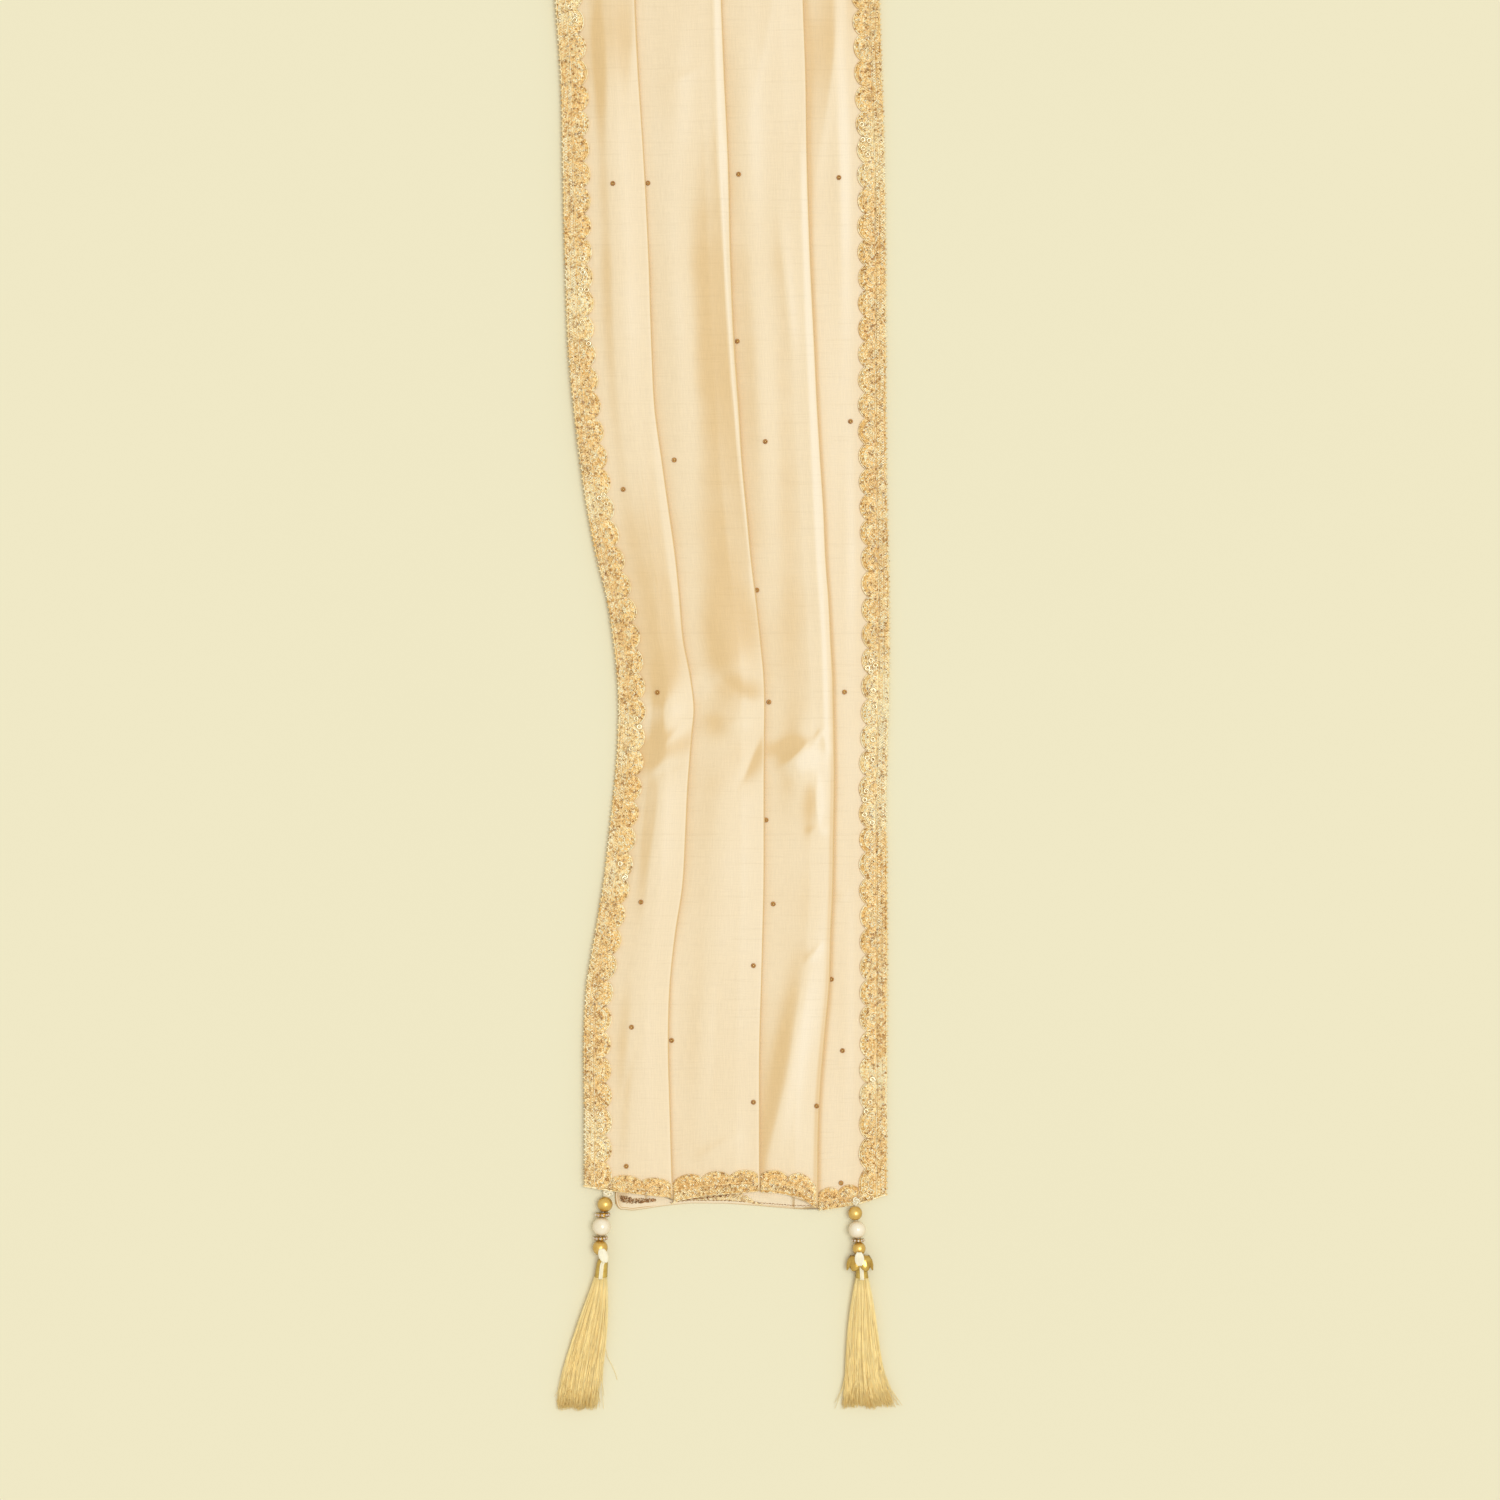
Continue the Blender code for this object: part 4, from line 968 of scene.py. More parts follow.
def shell_rows():
    """Distances from the near hem of the rows of points, close together where it shows."""
    fine = np.arange(0.0, FINE_ROWS_TO, FINE_ROW)
    count = int(round((LENGTH - FINE_ROWS_TO) / COARSE_ROW))
    return np.concatenate([fine, np.linspace(FINE_ROWS_TO, LENGTH, count + 1)])


def spread(start, end, count, last=True):
    """Values from start to end as columns; start and end may be columns themselves."""
    t = np.linspace(0.0, 1.0, count, endpoint=last)
    return start + (end - start) * t


def shell_columns(pleat, along):
    """Where the top points of a pleat's rows lie across the stole."""
    left = outline("left", along)
    right = outline("right", along)
    if pleat == 4:
        fold = outline("fold_3", along)
        start = fold - RETURN - GAP
        tucked = spread(start + 0.3, fold - 1.0, 4, last=False)
        return np.hstack([start, tucked, spread(fold - 1.0, right - CLOTH_INSET, VISIBLE_COLUMNS)])
    end = outline(f"fold_{pleat}", along) - FOLD_RADIUS
    if pleat == 1:
        return spread(left + CLOTH_INSET, end, VISIBLE_COLUMNS)
    above = outline(f"fold_{pleat - 1}", along)
    tucked = spread(above - TUCK, above - 1.0, 4, last=False)
    return np.hstack([tucked, spread(above - 1.0, end, VISIBLE_COLUMNS)])


def fold_loop(pleat, along, columns):
    """Sections of a wall that turns under itself at its right edge."""
    base = pleat_height(pleat, columns, along)
    own = relief(pleat, columns, along)
    lift = edge_lift(pleat, columns, along)
    top = base + own + lift
    under = base + np.minimum(own, 0.0) + lift - CLOTH
    edge = columns[:, -1:]
    back = outline(f"fold_{pleat}", along) - RETURN
    turned_x = spread(edge, back, 4)
    low = pleat_height(pleat, turned_x, along) - 2.0 * WALL - SLIT
    high = low + CLOTH
    angles = np.radians(FOLD_TURNS)
    middle = (top[:, -1:] + low[:, :1]) / 2.0
    half = (top[:, -1:] - low[:, :1]) / 2.0
    bend_x = edge + FOLD_RADIUS * np.cos(angles)
    bend_z = middle + half * np.sin(angles)
    inner_angles = np.radians((-60.0, 0.0, 60.0))
    inner_x = edge + (FOLD_RADIUS - CLOTH) * np.cos(inner_angles)
    inner_z = middle + (half - CLOTH) * np.sin(inner_angles)
    kept = np.unique(np.append(np.arange(0, columns.shape[1], 5), columns.shape[1] - 1))[::-1]
    x = np.hstack([columns, bend_x, turned_x, turned_x[:, ::-1], inner_x, columns[:, kept]])
    z = np.hstack([top, bend_z, low, high[:, ::-1], inner_z, under[:, kept]])
    return x, z


def flat_loop(along, columns):
    """Sections of the lowest pleat, flat underneath but for its lifted edge."""
    top = surface(4, columns, along)[..., 2]
    under = edge_lift(4, columns, along)
    kept = np.arange(columns.shape[1] - 1, -1, -5)
    kept = np.unique(np.append(kept, 0))[::-1]
    x = np.hstack([columns, columns[:, kept]])
    z = np.hstack([top, under[:, kept]])
    return x, z


def loft(name, layer, along, x, z, material, replaces, ends=()):
    """Rows of equal loops joined into one closed piece, with the weave's coordinates."""
    rows, size = x.shape
    y = along + hem_offset(layer, x, along)
    points = np.stack([x, y, z], axis=-1)
    gathered = Gather()
    sides = ring_faces(rows, size)
    caps = []
    for row in (0, rows - 1):
        flat = [Vector((a, b, 0.0)) for a, b in zip(x[row], z[row])]
        blocks = ends or [np.array(tessellate_polygon([flat]))]
        caps += [(block if row else block[:, ::-1]) + row * size for block in blocks]
    # The pleats get their painted light and shade; the hidden layers one even tone
    tone = UNDER_TONE if layer == "hidden" else silk_painted_shading(layer, x, along).ravel()
    gathered.add(points, [sides, *caps], tone)
    reference = rows // 3
    steps = np.hypot(np.diff(x[reference], append=x[reference, :1]),
                     np.diff(z[reference], append=z[reference, :1]))
    across = np.concatenate([[0.0], np.cumsum(steps)]) * MM
    down = along[:, 0] * MM
    row = np.arange(rows - 1)[:, None]
    k = np.arange(size)[None, :]
    corners = [(k, row), (k + 1, row), (k + 1, row + 1), (k, row + 1)]
    side_uv = np.stack([np.stack(np.broadcast_arrays(across[a], down[b]), axis=-1)
                        for a, b in corners], axis=2).reshape(-1, 2)
    cap_uv = np.concatenate([np.stack([x.ravel()[cap.ravel()], z.ravel()[cap.ravel()]], axis=-1)
                             for cap in caps]) * MM
    uv = np.concatenate([side_uv, cap_uv])
    item = make_piece(name, gathered, material, replaces, uv=uv)
    item.data.validate()
    return item


def make_pleats():
    """The four pleats, each a thin shell on its solid's form."""
    along = shell_rows()[:, None]
    made = {}
    for pleat in (1, 2, 3, 4):
        columns = shell_columns(pleat, along)
        x, z = flat_loop(along, columns) if pleat == 4 else fold_loop(pleat, along, columns)
        name = f"silk_pleat_{pleat}"
        made[pleat] = loft(name, pleat, along, x, z, SILK, [f"pleat_{pleat}"])
    return made


def ledge_scale(place):
    """How high the under-layer stands at a distance from a hem: a low layer's edge first."""
    return 0.55 + 0.45 * smooth_step((place - UNDER_EDGE) / 4.0)


def on_under_layer(x, place):
    """Points on the under-layer near its near hem, at a distance in from its edge."""
    x, place = np.broadcast_arrays(np.asarray(x, float), np.asarray(place, float))
    top = np.interp(x, UNDER_TOP[:, 0], UNDER_TOP[:, 1]) * ledge_scale(place)
    z = np.where(x < outline("fold_3", place) - RETURN - GAP, np.maximum(top, GAP), WALL)
    y = np.where(x < UNDER_JOIN, place + hem_offset("hidden", x, place),
                 place + hem_offset(4, x, place))
    return np.stack([x, y, z], axis=-1)


def make_hidden_layers():
    """The layers out of sight, which show as one low edge at each hem."""
    end = np.concatenate([[0.0, 0.12, 0.35, 0.8, 1.3], np.arange(1.7, 6.0, 0.5),
                          np.arange(6.5, 13.0, 1.0)])
    middle = np.arange(14.0, LENGTH - 14.0, 12.0)
    along = np.concatenate([end, middle, LENGTH - end[::-1]])[:, None]
    from_hem = np.minimum(along, LENGTH - along)
    inward = np.clip(from_hem / 0.8, 0.0, 1.0)
    scale = 0.35 + 0.65 * np.sqrt(inward * (2.0 - inward))
    left = outline("left", along) + HIDDEN_INSET
    folds = {n: outline(f"fold_{n}", along) for n in (1, 2, 3)}
    blocks_x = []
    blocks_z = []
    for pleat in (1, 2, 3):
        step = folds[pleat] - TUCK - STEP_CLEARANCE
        if pleat == 1:
            columns = spread(left, step, 16)
        else:
            start = folds[pleat - 1] - TUCK - STEP_CLEARANCE
            end_x = folds[3] - RETURN - GAP - 0.05 if pleat == 3 else step
            columns = spread(start + 0.1, end_x, 12)
        top = pleat_height(pleat, columns, along) - WALL - GAP
        sunk = HIDDEN_DROP * smooth_step((from_hem - 8.0) / 6.0)
        low = np.interp(columns, UNDER_TOP[:, 0], UNDER_TOP[:, 1]) * ledge_scale(from_hem)
        low = np.minimum(low, top)
        top = low + (top - low) * smooth_step((from_hem - 7.0) / 7.0)
        blocks_x.append(columns)
        blocks_z.append(np.maximum((top - sunk) * scale, GAP))
    x = np.hstack(blocks_x)
    z = np.hstack(blocks_z)
    bulge = x[:, :1] + np.array((-0.1, -0.25, 0.1))
    bulge_z = z[:, :1] * np.array((0.0, 0.45, 0.85))
    x = np.hstack([bulge, x[:, 1:]])
    z = np.hstack([bulge_z, z[:, 1:]])
    last = x.shape[1] - 1
    kept = np.arange(last, 2, -1)
    x = np.hstack([x, x[:, kept]])
    z = np.hstack([z, np.zeros((len(along), len(kept)))])
    k = np.arange(3, last)
    under = 2 * last + 1 - k
    ends = np.stack([k, k + 1, under - 1, under], axis=-1)
    corner = np.array([(0, 1, 2, 2), (0, 2, 3, 2 * last - 2)])
    return loft("silk_hidden_layers", "hidden", along, x, z, SILK_BACK, ["hidden_layers"],
                [corner[:1, :3], corner[1:], ends])


def lace_cords(fine, picots=True):
    """The cords of one repeat: paths of (across from the outer edge, along, height)."""
    pitch = SCALLOP_PITCH
    middle = pitch / 2.0
    level = TAPE + GAP + 0.6 * CORD
    fan_u = 7.9
    cords = []

    def steps(count, coarse):
        return np.linspace(0.0, 1.0, (count if fine else coarse) + 1)

    def add(u, v, w, radius=CORD):
        path = np.stack(np.broadcast_arrays(u, v, w), axis=-1)
        cords.append((path, radius))

    def add_arc(radius, count, coarse, loops=0, curl=0.0):
        """An arc about the fan's root, plain or made of small curls."""
        corner = math.acos(min(1.0, (middle - CORD) / radius))
        t = steps(count, coarse)
        turn = corner + (np.pi - 2.0 * corner) * t
        around = 2.0 * np.pi * loops * t
        u = fan_u + radius * np.sin(turn) + curl * np.cos(around)
        v = middle - radius * np.cos(turn) + curl * np.sin(around)
        add(u, v, level + 0.25 + 0.15 * np.sin(around))

    loops = 5
    if picots:
        t = steps(loops * 7, loops * 3)
        around = 2.0 * np.pi * loops * t
        add(0.95 - 0.75 * np.cos(around), pitch * t - 0.8 * np.sin(around), level + 0.1)
    else:
        t = steps(loops * 4, loops * 2)
        around = 2.0 * np.pi * loops * t
        add(0.35, pitch * t, level - 0.1, 0.55)
        add(1.3 + 0.35 * np.sin(around), pitch * t, level + 0.2 * np.cos(around))
    rows = ((2.9, 0.95, 0.0), (2.9, 0.95, np.pi), (5.6, 0.9, 0.7), (5.6, 0.9, 3.84))
    for centre, reach, phase in rows:
        t = steps(loops * 5, loops * 2)
        around = 2.0 * np.pi * loops * t + phase
        height = level + 0.35 + 0.22 * np.sin(around * 2.0 + phase)
        add(centre + reach * np.sin(around), pitch * t, height)
    for u in (4.25, 7.0):
        add(u, pitch * steps(5, 2), level + 0.2, 0.36)
    add_arc(LACE_WIDTH - CORD - fan_u, 16, 9)
    add_arc(7.75, 64, 24, loops=8, curl=0.72)
    add_arc(6.4, 12, 6)
    add_arc(5.1, 64, 18, loops=8 if fine else 6, curl=0.72)
    add_arc(3.7, 10, 5)
    if fine:
        add_arc(2.3, 40, 20, loops=5, curl=0.68)
    for ring_u, ring_v, radius in ((8.8, middle, 0.8), (11.5, 0.0, 0.9), (9.4, 0.0, 0.8)):
        turn = 2.0 * np.pi * steps(8, 4)
        add(ring_u + radius * np.cos(turn), ring_v + radius * np.sin(turn), level + 0.3, 0.36)
    return cords


def repeat_cords(cords, count, random_seed, first=0):
    """Points, faces and shades of all the cords of many repeats, in the lace's own plane."""
    draw = np.random.default_rng(random_seed)
    blocks = []
    for path, radius in cords:
        points, faces = tube(path, radius)
        number = np.arange(count)
        shifted = np.repeat(points[None], count, axis=0)
        shifted[..., 1] += (SCALLOP_PITCH * (number + first))[:, None]
        shifted[..., 0] += draw.normal(0.0, 0.10, (count, 1))
        shifted[..., 1] += draw.normal(0.0, 0.12, (count, 1))
        shade = np.repeat(draw.uniform(0.2, 0.8, (count, 1)), len(points), axis=1)
        offsets = (number * len(points))[:, None, None]
        joined = [(face[None] + offsets).reshape(-1, face.shape[1]) for face in faces]
        blocks.append((shifted.reshape(-1, 3), joined, shade.ravel()))
    return blocks


def tape_edge(v, depth):
    """How far the lace's inner edge draws back at a distance along it."""
    return depth * (1.0 - np.abs(np.sin(np.pi * v / SCALLOP_PITCH)))


def tape_grid(count, steps_each, width):
    """The lace's ground as rows along it, closed top and bottom, in the lace's own plane."""
    v = np.linspace(0.0, SCALLOP_PITCH * count, count * steps_each + 1)[:, None]
    tip = width - 0.2 - tape_edge(v, SCALLOP_DEPTH)
    straight = np.array(TAPE_LINES) + 0.0 * v
    top_u = np.hstack([straight, (TAPE_LINES[-1] + tip) / 2.0, tip])
    low_u = top_u[:, ::-1][:, [0, 2, 5]]
    u = np.hstack([top_u, low_u])
    w = np.hstack([np.full(top_u.shape, GAP + TAPE), np.full(low_u.shape, GAP * 0.6)])
    w[:, 3] -= 0.2
    points = np.stack(np.broadcast_arrays(u, v, w), axis=-1)
    rows, size = u.shape
    caps = []
    for row in (0, rows - 1):
        flat = [Vector((a, b, 0.0)) for a, b in zip(u[row], w[row])]
        caps.append(np.array(tessellate_polygon([flat])) + row * size)
    return points.reshape(-1, 3), [ring_faces(rows, size), *caps]


def pale_share(side, along):
    """How much paler a side lace is, from 0 to 1, at distances from the near hem."""
    total = 0.0
    for middle, half in PALE_LACE[side]:
        total = total + np.exp(-((along - middle) / half) ** 4)
    return np.clip(total, 0.0, 1.0)


def side_lace_place(side, pleat, plane):
    """Points of the lace's own plane laid on a long edge of the stole."""
    direction = 1.0 if side == "left" else -1.0
    along = np.clip(plane[:, 1], 0.0, LENGTH)
    x = outline(side, along) + direction * plane[:, 0]
    laid = surface(pleat, x, along)
    laid[:, 1] += plane[:, 1] - along
    laid[:, 2] += plane[:, 2]
    return laid


def make_side_lace(side, pleat):
    """The lace along one long edge: its ground and its cords."""
    count = round(LENGTH / SCALLOP_PITCH)
    stretch = LENGTH / (count * SCALLOP_PITCH)
    tape = Gather()
    points, faces = tape_grid(count, 6, LACE_WIDTH)
    points[:, 1] *= stretch
    tone = 0.45 + 0.3 * pale_share(side, points[:, 1])
    tape.add(side_lace_place(side, pleat, points), faces, tone)
    ground = make_piece(f"lace_ground_{side}", tape, LACE_TAPE, [f"lace_{side}"])
    cords = Gather()
    fine_seed, coarse_seed = (11, 21) if side == "left" else (12, 22)
    blocks = repeat_cords(lace_cords(True), FINE_REPEATS, fine_seed)
    blocks += repeat_cords(lace_cords(False), count - FINE_REPEATS, coarse_seed, FINE_REPEATS)
    for points, faces, shade in blocks:
        points[:, 1] *= stretch
        shade = shade + 0.28 * pale_share(side, points[:, 1])
        cords.add(side_lace_place(side, pleat, points), faces, shade)
    work = make_piece(f"lace_cords_{side}", cords, LACE_CORD)
    return [ground, work]


def hem_lace_place(pleat, far, start, span, width, count, plane):
    """Points of the lace's own plane laid along one hem of one pleat."""
    share = plane[:, 1] / (SCALLOP_PITCH * count)
    x = start + span * share
    depth = plane[:, 0] * width / LACE_WIDTH - HEM_OVERHANG
    away = np.maximum(depth, 0.0)
    along = LENGTH - away if far else away
    laid = surface(pleat, x, along)
    laid[:, 1] += (away - depth) * (1.0 if far else -1.0)
    laid[:, 2] += plane[:, 2]
    return laid


def turn_corner(cords, pleat, edge, inward, far):
    """The hem's edge cord carried on to the corner, and curls in the last notch."""
    outward = 1.0 if far else -1.0
    row = LENGTH if far else 0.0
    x = edge + inward * np.linspace(0.3, LACE_WIDTH + LACE_CORNER_GAP, 14)
    path = surface(pleat, x, row)
    path[:, 1] += outward * 0.55
    path[:, 2] += GAP + TAPE
    cords.add(*tube(path, 0.5, 5), 0.6)
    turn = 2.0 * np.pi * np.arange(9) / 8
    for across, deep, radius in CORNER_CURLS:
        x = edge + inward * (across + radius * np.cos(turn))
        curl = surface(pleat, x, row - outward * (deep + radius * np.sin(turn)))
        curl[:, 2] += GAP + TAPE
        cords.add(*tube(curl, 0.36), 0.5)


def make_hem_lace(pleat, width, count, far):
    """The lace of one hem of one pleat."""
    row = LENGTH if far else 0.0
    start = float(outline(left_line(pleat), row)) + LACE_CORNER_GAP
    end = float(outline(right_line(pleat), row))
    if pleat == 1:
        start += LACE_WIDTH
    end -= LACE_WIDTH + LACE_CORNER_GAP if pleat == 4 else FOLD_RADIUS
    span = end - start
    end_name = "far" if far else "hem"
    gathered = Gather()
    points, faces = tape_grid(count, 8, LACE_WIDTH)
    args = (pleat, far, start, span, width, count)
    gathered.add(hem_lace_place(*args, points), faces, 0.5)
    ground = make_piece(f"{end_name}_lace_ground_{pleat}", gathered, LACE_TAPE,
                        [f"{end_name}_lace_{pleat}"])
    cords = Gather()
    blocks = repeat_cords(lace_cords(True, False), count, 30 + pleat + 10 * far)
    for points, faces, shade in blocks:
        cords.add(hem_lace_place(*args, points), faces, shade - 0.10)
    if pleat in (1, 4):
        side = "left" if pleat == 1 else "right"
        inward = 1.0 if pleat == 1 else -1.0
        turn_corner(cords, pleat, float(outline(side, row)), inward, far)
    work = make_piece(f"{end_name}_lace_cords_{pleat}", cords, LACE_CORD)
    return [ground, work]


def make_stitches(side, pleat):
    """Short stitches in the groove of a side lace."""
    gathered = Gather()
    draw = np.random.default_rng(5 if side == "left" else 6)
    for place in np.arange(4.0, LENGTH - 4.0, STITCH_STEP):
        lean = draw.uniform(-0.25, 0.25)
        v = place + np.array((-1.2, -0.5, 0.5, 1.2))
        u = STITCH_LINE + lean * np.array((-1.0, -0.4, 0.4, 1.0))
        w = GAP + TAPE + np.array((-0.1, 0.22, 0.22, -0.1))
        points, faces = tube(np.stack([u, v, w], axis=-1), 0.2)
        gathered.add(side_lace_place(side, pleat, points), faces, draw.uniform(0.3, 0.8))
    return make_piece(f"lace_stitches_{side}", gathered, CORD_SILK)


def ring_sequin(centre, radius):
    """A small ring with a rounded rim."""
    turn = 2.0 * np.pi * np.arange(16) / 16
    path = np.stack([centre[0] + radius * np.cos(turn), centre[1] + radius * np.sin(turn),
                     np.full(16, centre[2])], axis=-1)
    return tube(path, radius * 0.42, 6, closed=True)


def ball(centre, radius, rings=8, sides=12, squash=1.0):
    """A closed ball of rings of points."""
    angles = np.linspace(0.0, np.pi, rings + 1)[1:-1]
    profile = np.stack([radius * np.cos(angles), radius * np.sin(angles)], axis=-1)
    points = turned(centre, profile, sides, squash=squash)
    faces = ring_faces(len(profile), sides)
    poles = np.array([centre, centre], float)
    poles[0, 1] += radius
    poles[1, 1] -= radius
    top = len(points)
    k = np.arange(sides)
    after = (k + 1) % sides
    last = (rings - 2) * sides
    caps = np.concatenate([
        np.stack([np.full(sides, top), after, k], axis=-1),
        np.stack([np.full(sides, top + 1), last + k, last + after], axis=-1)])
    return np.concatenate([points, poles]), [faces, caps]


def sequin_places():
    """The sequins of the table, and seeded ones like them past the photo's edge."""
    draw = random.Random(8)
    places = list(SEQUINS)
    for band in range(SEQUIN_BANDS):
        middle = SEQUIN_BANDS_FROM + SEQUIN_BAND_PITCH * band
        for pleat in (1, 2, 3, 4):
            left = float(outline(left_line(pleat), middle))
            right = float(outline(right_line(pleat), middle))
            left += SEQUIN_MARGINS[0] if pleat == 1 else SEQUIN_MARGINS[1]
            right -= SEQUIN_MARGINS[0] if pleat == 4 else SEQUIN_MARGINS[1]
            if draw.random() < 0.8:
                place = middle + draw.uniform(-30.0, 30.0)
                places.append((pleat, draw.uniform(left, right), place))
    return places


def make_sequins():
    """Copper ring sequins over the cloth."""
    rings = Gather()
    seeds = Gather()
    for pleat, x, along in sequin_places():
        if pleat > 1:
            x = max(x, float(outline(f"fold_{pleat - 1}", along)) + 0.9)
        down = along
        for _ in range(6):
            down = along - float(hem_offset(pleat, x, np.float64(down)))
        centre = surface(pleat, x, down).reshape(3) + (0.0, 0.0, 0.5)
        rings.add(*ring_sequin(centre, SEQUIN_RADIUS))
        seeds.add(*ball(centre + (0.0, 0.0, 0.05), SEED_RADIUS, 6, 8, squash=0.7))
    return [make_piece("copper_ring_sequins", rings, COPPER),
            make_piece("sequin_seed_beads", seeds, GOLD_BEAD)]


def make_lace_sequins():
    """Pale ring sequins sewn on the brighter stretches of the side laces."""
    draw = random.Random(3)
    rings = Gather()
    for side, pleat in (("left", 1), ("right", 4)):
        for middle, half in PALE_LACE[side]:
            for _ in range(max(3, int(half / 4.0))):
                along = middle + draw.uniform(-half, half)
                plane = np.array([[draw.uniform(9.0, 14.0), along, GAP + TAPE + 1.1]])
                centre = side_lace_place(side, pleat, plane)[0]
                rings.add(*ring_sequin(centre, LACE_SEQUIN_RADIUS))
    return make_piece("pale_ring_sequins", rings, PALE_GOLD)


# The under-layer's rim and lace at the near hem, and the lace in the fold's mouth, its own brown
# deepened by painted shade
UNDER_CORD = 0.38
UNDER_RIM_START = ((-65.7, -2.0), (-65.8, -7.0), (-65.5, -10.5), (-64.6, -13.2), (-62.8, -14.6))
UNDER_RIM = (0.85, 0.45)
MOUTH_LACE = (-63.0, -42.5)
MOUTH_CURLS = 90
UNDER_LACE = (-33.0, 22.0)
UNDER_LACE_CORDS = ((2.3, 0.7, 2.4), (2.3, -0.7, 2.4), (3.6, 0.5, 2.0), (4.6, 0.5, 2.9))
# A dark cord under the second pleat's hem lace: partly dark cord, partly painted shadow in the gap
SHADED_CORD = ((-29.0, -9.4), (-14.0, -8.0), (2.0, -6.3))


def under_rim():
    """A rolled rim down the under-layer's left side and along its near edge."""
    x = np.linspace(-61.5, 55.0, 120)
    lower = on_under_layer(x, 0.5)[:, :2]
    corners = np.concatenate([np.array(UNDER_RIM_START), lower])
    run = np.concatenate([[0.0], np.cumsum(np.hypot(*np.diff(corners, axis=0).T))])
    even = np.linspace(0.0, run[-1], 320)
    line = np.stack([np.interp(even, run, corners[:, k]) for k in (0, 1)], axis=-1)
    for _ in range(8):
        line[1:-1] = (line[:-2] + 2.0 * line[1:-1] + line[2:]) / 4.0
    radius = UNDER_RIM[0] + (UNDER_RIM[1] - UNDER_RIM[0]) * smooth_step((line[:, 0] + 55.0) / 25.0)
    return np.column_stack([line, radius + 0.05]), radius


def make_under_layer_trim():
    """The under-layer's rolled rim, its lace, and the lace and cords in the fold's mouth, deepened by
    painted shade.
    """
    rim = Gather()
    line, radius = under_rim()
    rim.add(*tube(line, radius, 8), 0.55)
    made = [make_piece("under_layer_rim", rim, SILK_BACK)]
    lace = Gather()
    x = np.linspace(*UNDER_LACE, 190)
    ends = smooth_step((x - UNDER_LACE[0]) / 6.0) * smooth_step((UNDER_LACE[1] - x) / 14.0)
    for place, reach, period in UNDER_LACE_CORDS:
        twist = 2.0 * np.pi * x / period
        path = on_under_layer(x, 0.7 + (place - 0.7 + reach * np.sin(twist)) * ends)
        path[:, 2] += 0.35 + 0.2 * np.cos(twist)
        lace.add(*tube(path, UNDER_CORD), 0.6)
    made.append(make_piece("under_layer_lace", lace, LACE_CORD))
    mouth = Gather()
    draw = np.random.default_rng(17)
    turn = 2.0 * np.pi * np.arange(9) / 8
    for _ in range(MOUTH_CURLS):
        share = draw.uniform(0.0, 1.0) ** 1.2
        middle = MOUTH_LACE[0] + (MOUTH_LACE[1] - MOUTH_LACE[0]) * share
        width = 2.1 * (1.0 - share) ** 0.7 + 0.2
        place = 3.1 + draw.uniform(0.0, width)
        size = draw.uniform(0.35, 0.65)
        curl = on_under_layer(middle + size * np.cos(turn), place + size * np.sin(turn))
        curl[:, 2] += 0.3 + 0.25 * np.sin(turn + draw.uniform(0.0, 6.0))
        mouth.add(*tube(curl, 0.30), draw.uniform(0.1, 0.75))
    x = np.linspace(-34.0, 52.0, 200)
    path = on_under_layer(x, 1.45 + 0.12 * np.sin(x * 2.7))
    path[:, 2] += 0.35
    mouth.add(*tube(path, 0.20 + 0.10 * np.sin(x * 4.1)), 0.25)
    line = np.array(SHADED_CORD)
    x = np.linspace(line[0, 0], line[-1, 0], 90)
    along = np.interp(x, line[:, 0], line[:, 1]) + 0.15 * np.sin(x * 2.3)
    path = np.stack([x, along, 2.7 + 0.2 * np.sin(x * 1.9)], axis=-1)
    mouth.add(*tube(path, 0.34 + 0.18 * np.sin(x * 1.6), 5), 0.1)
    made.append(make_piece("fold_mouth_lace", mouth, SHADED_LACE))
    return made


CHAINS = {
    "left": ("left_knot", "left_gold_pearl_1", "left_rondelle_1", "left_white_pearl",
             "left_rondelle_2", "left_gold_pearl_2"),
    "right": ("right_knot", "right_gold_pearl_1", "right_white_pearl", "right_rondelle",
              "right_gold_pearl_2"),
}
PEARL_HOLE = 0.55
RHINESTONES = 10


def make_pearl_bead(name):
    """A round bead with rounded mouths where its thread goes in."""
    centre, half = box_of(name)
    radius = half[0]
    edge = math.asin(PEARL_HOLE / radius)
    angles = np.linspace(edge, math.pi - edge, 23)
    profile = [(radius * math.cos(a), radius * math.sin(a)) for a in angles]
    inside = radius * math.cos(edge) - 0.5
    profile += [(-inside, PEARL_HOLE * 0.85), (inside, PEARL_HOLE * 0.85)]
    gathered = Gather()
    gathered.add(*closed_turned(centre, profile, 36))
    white = "white" in name
    return make_piece(f"{name}_bead", gathered, WHITE_PEARL if white else GOLD_BEAD,
                      [name])


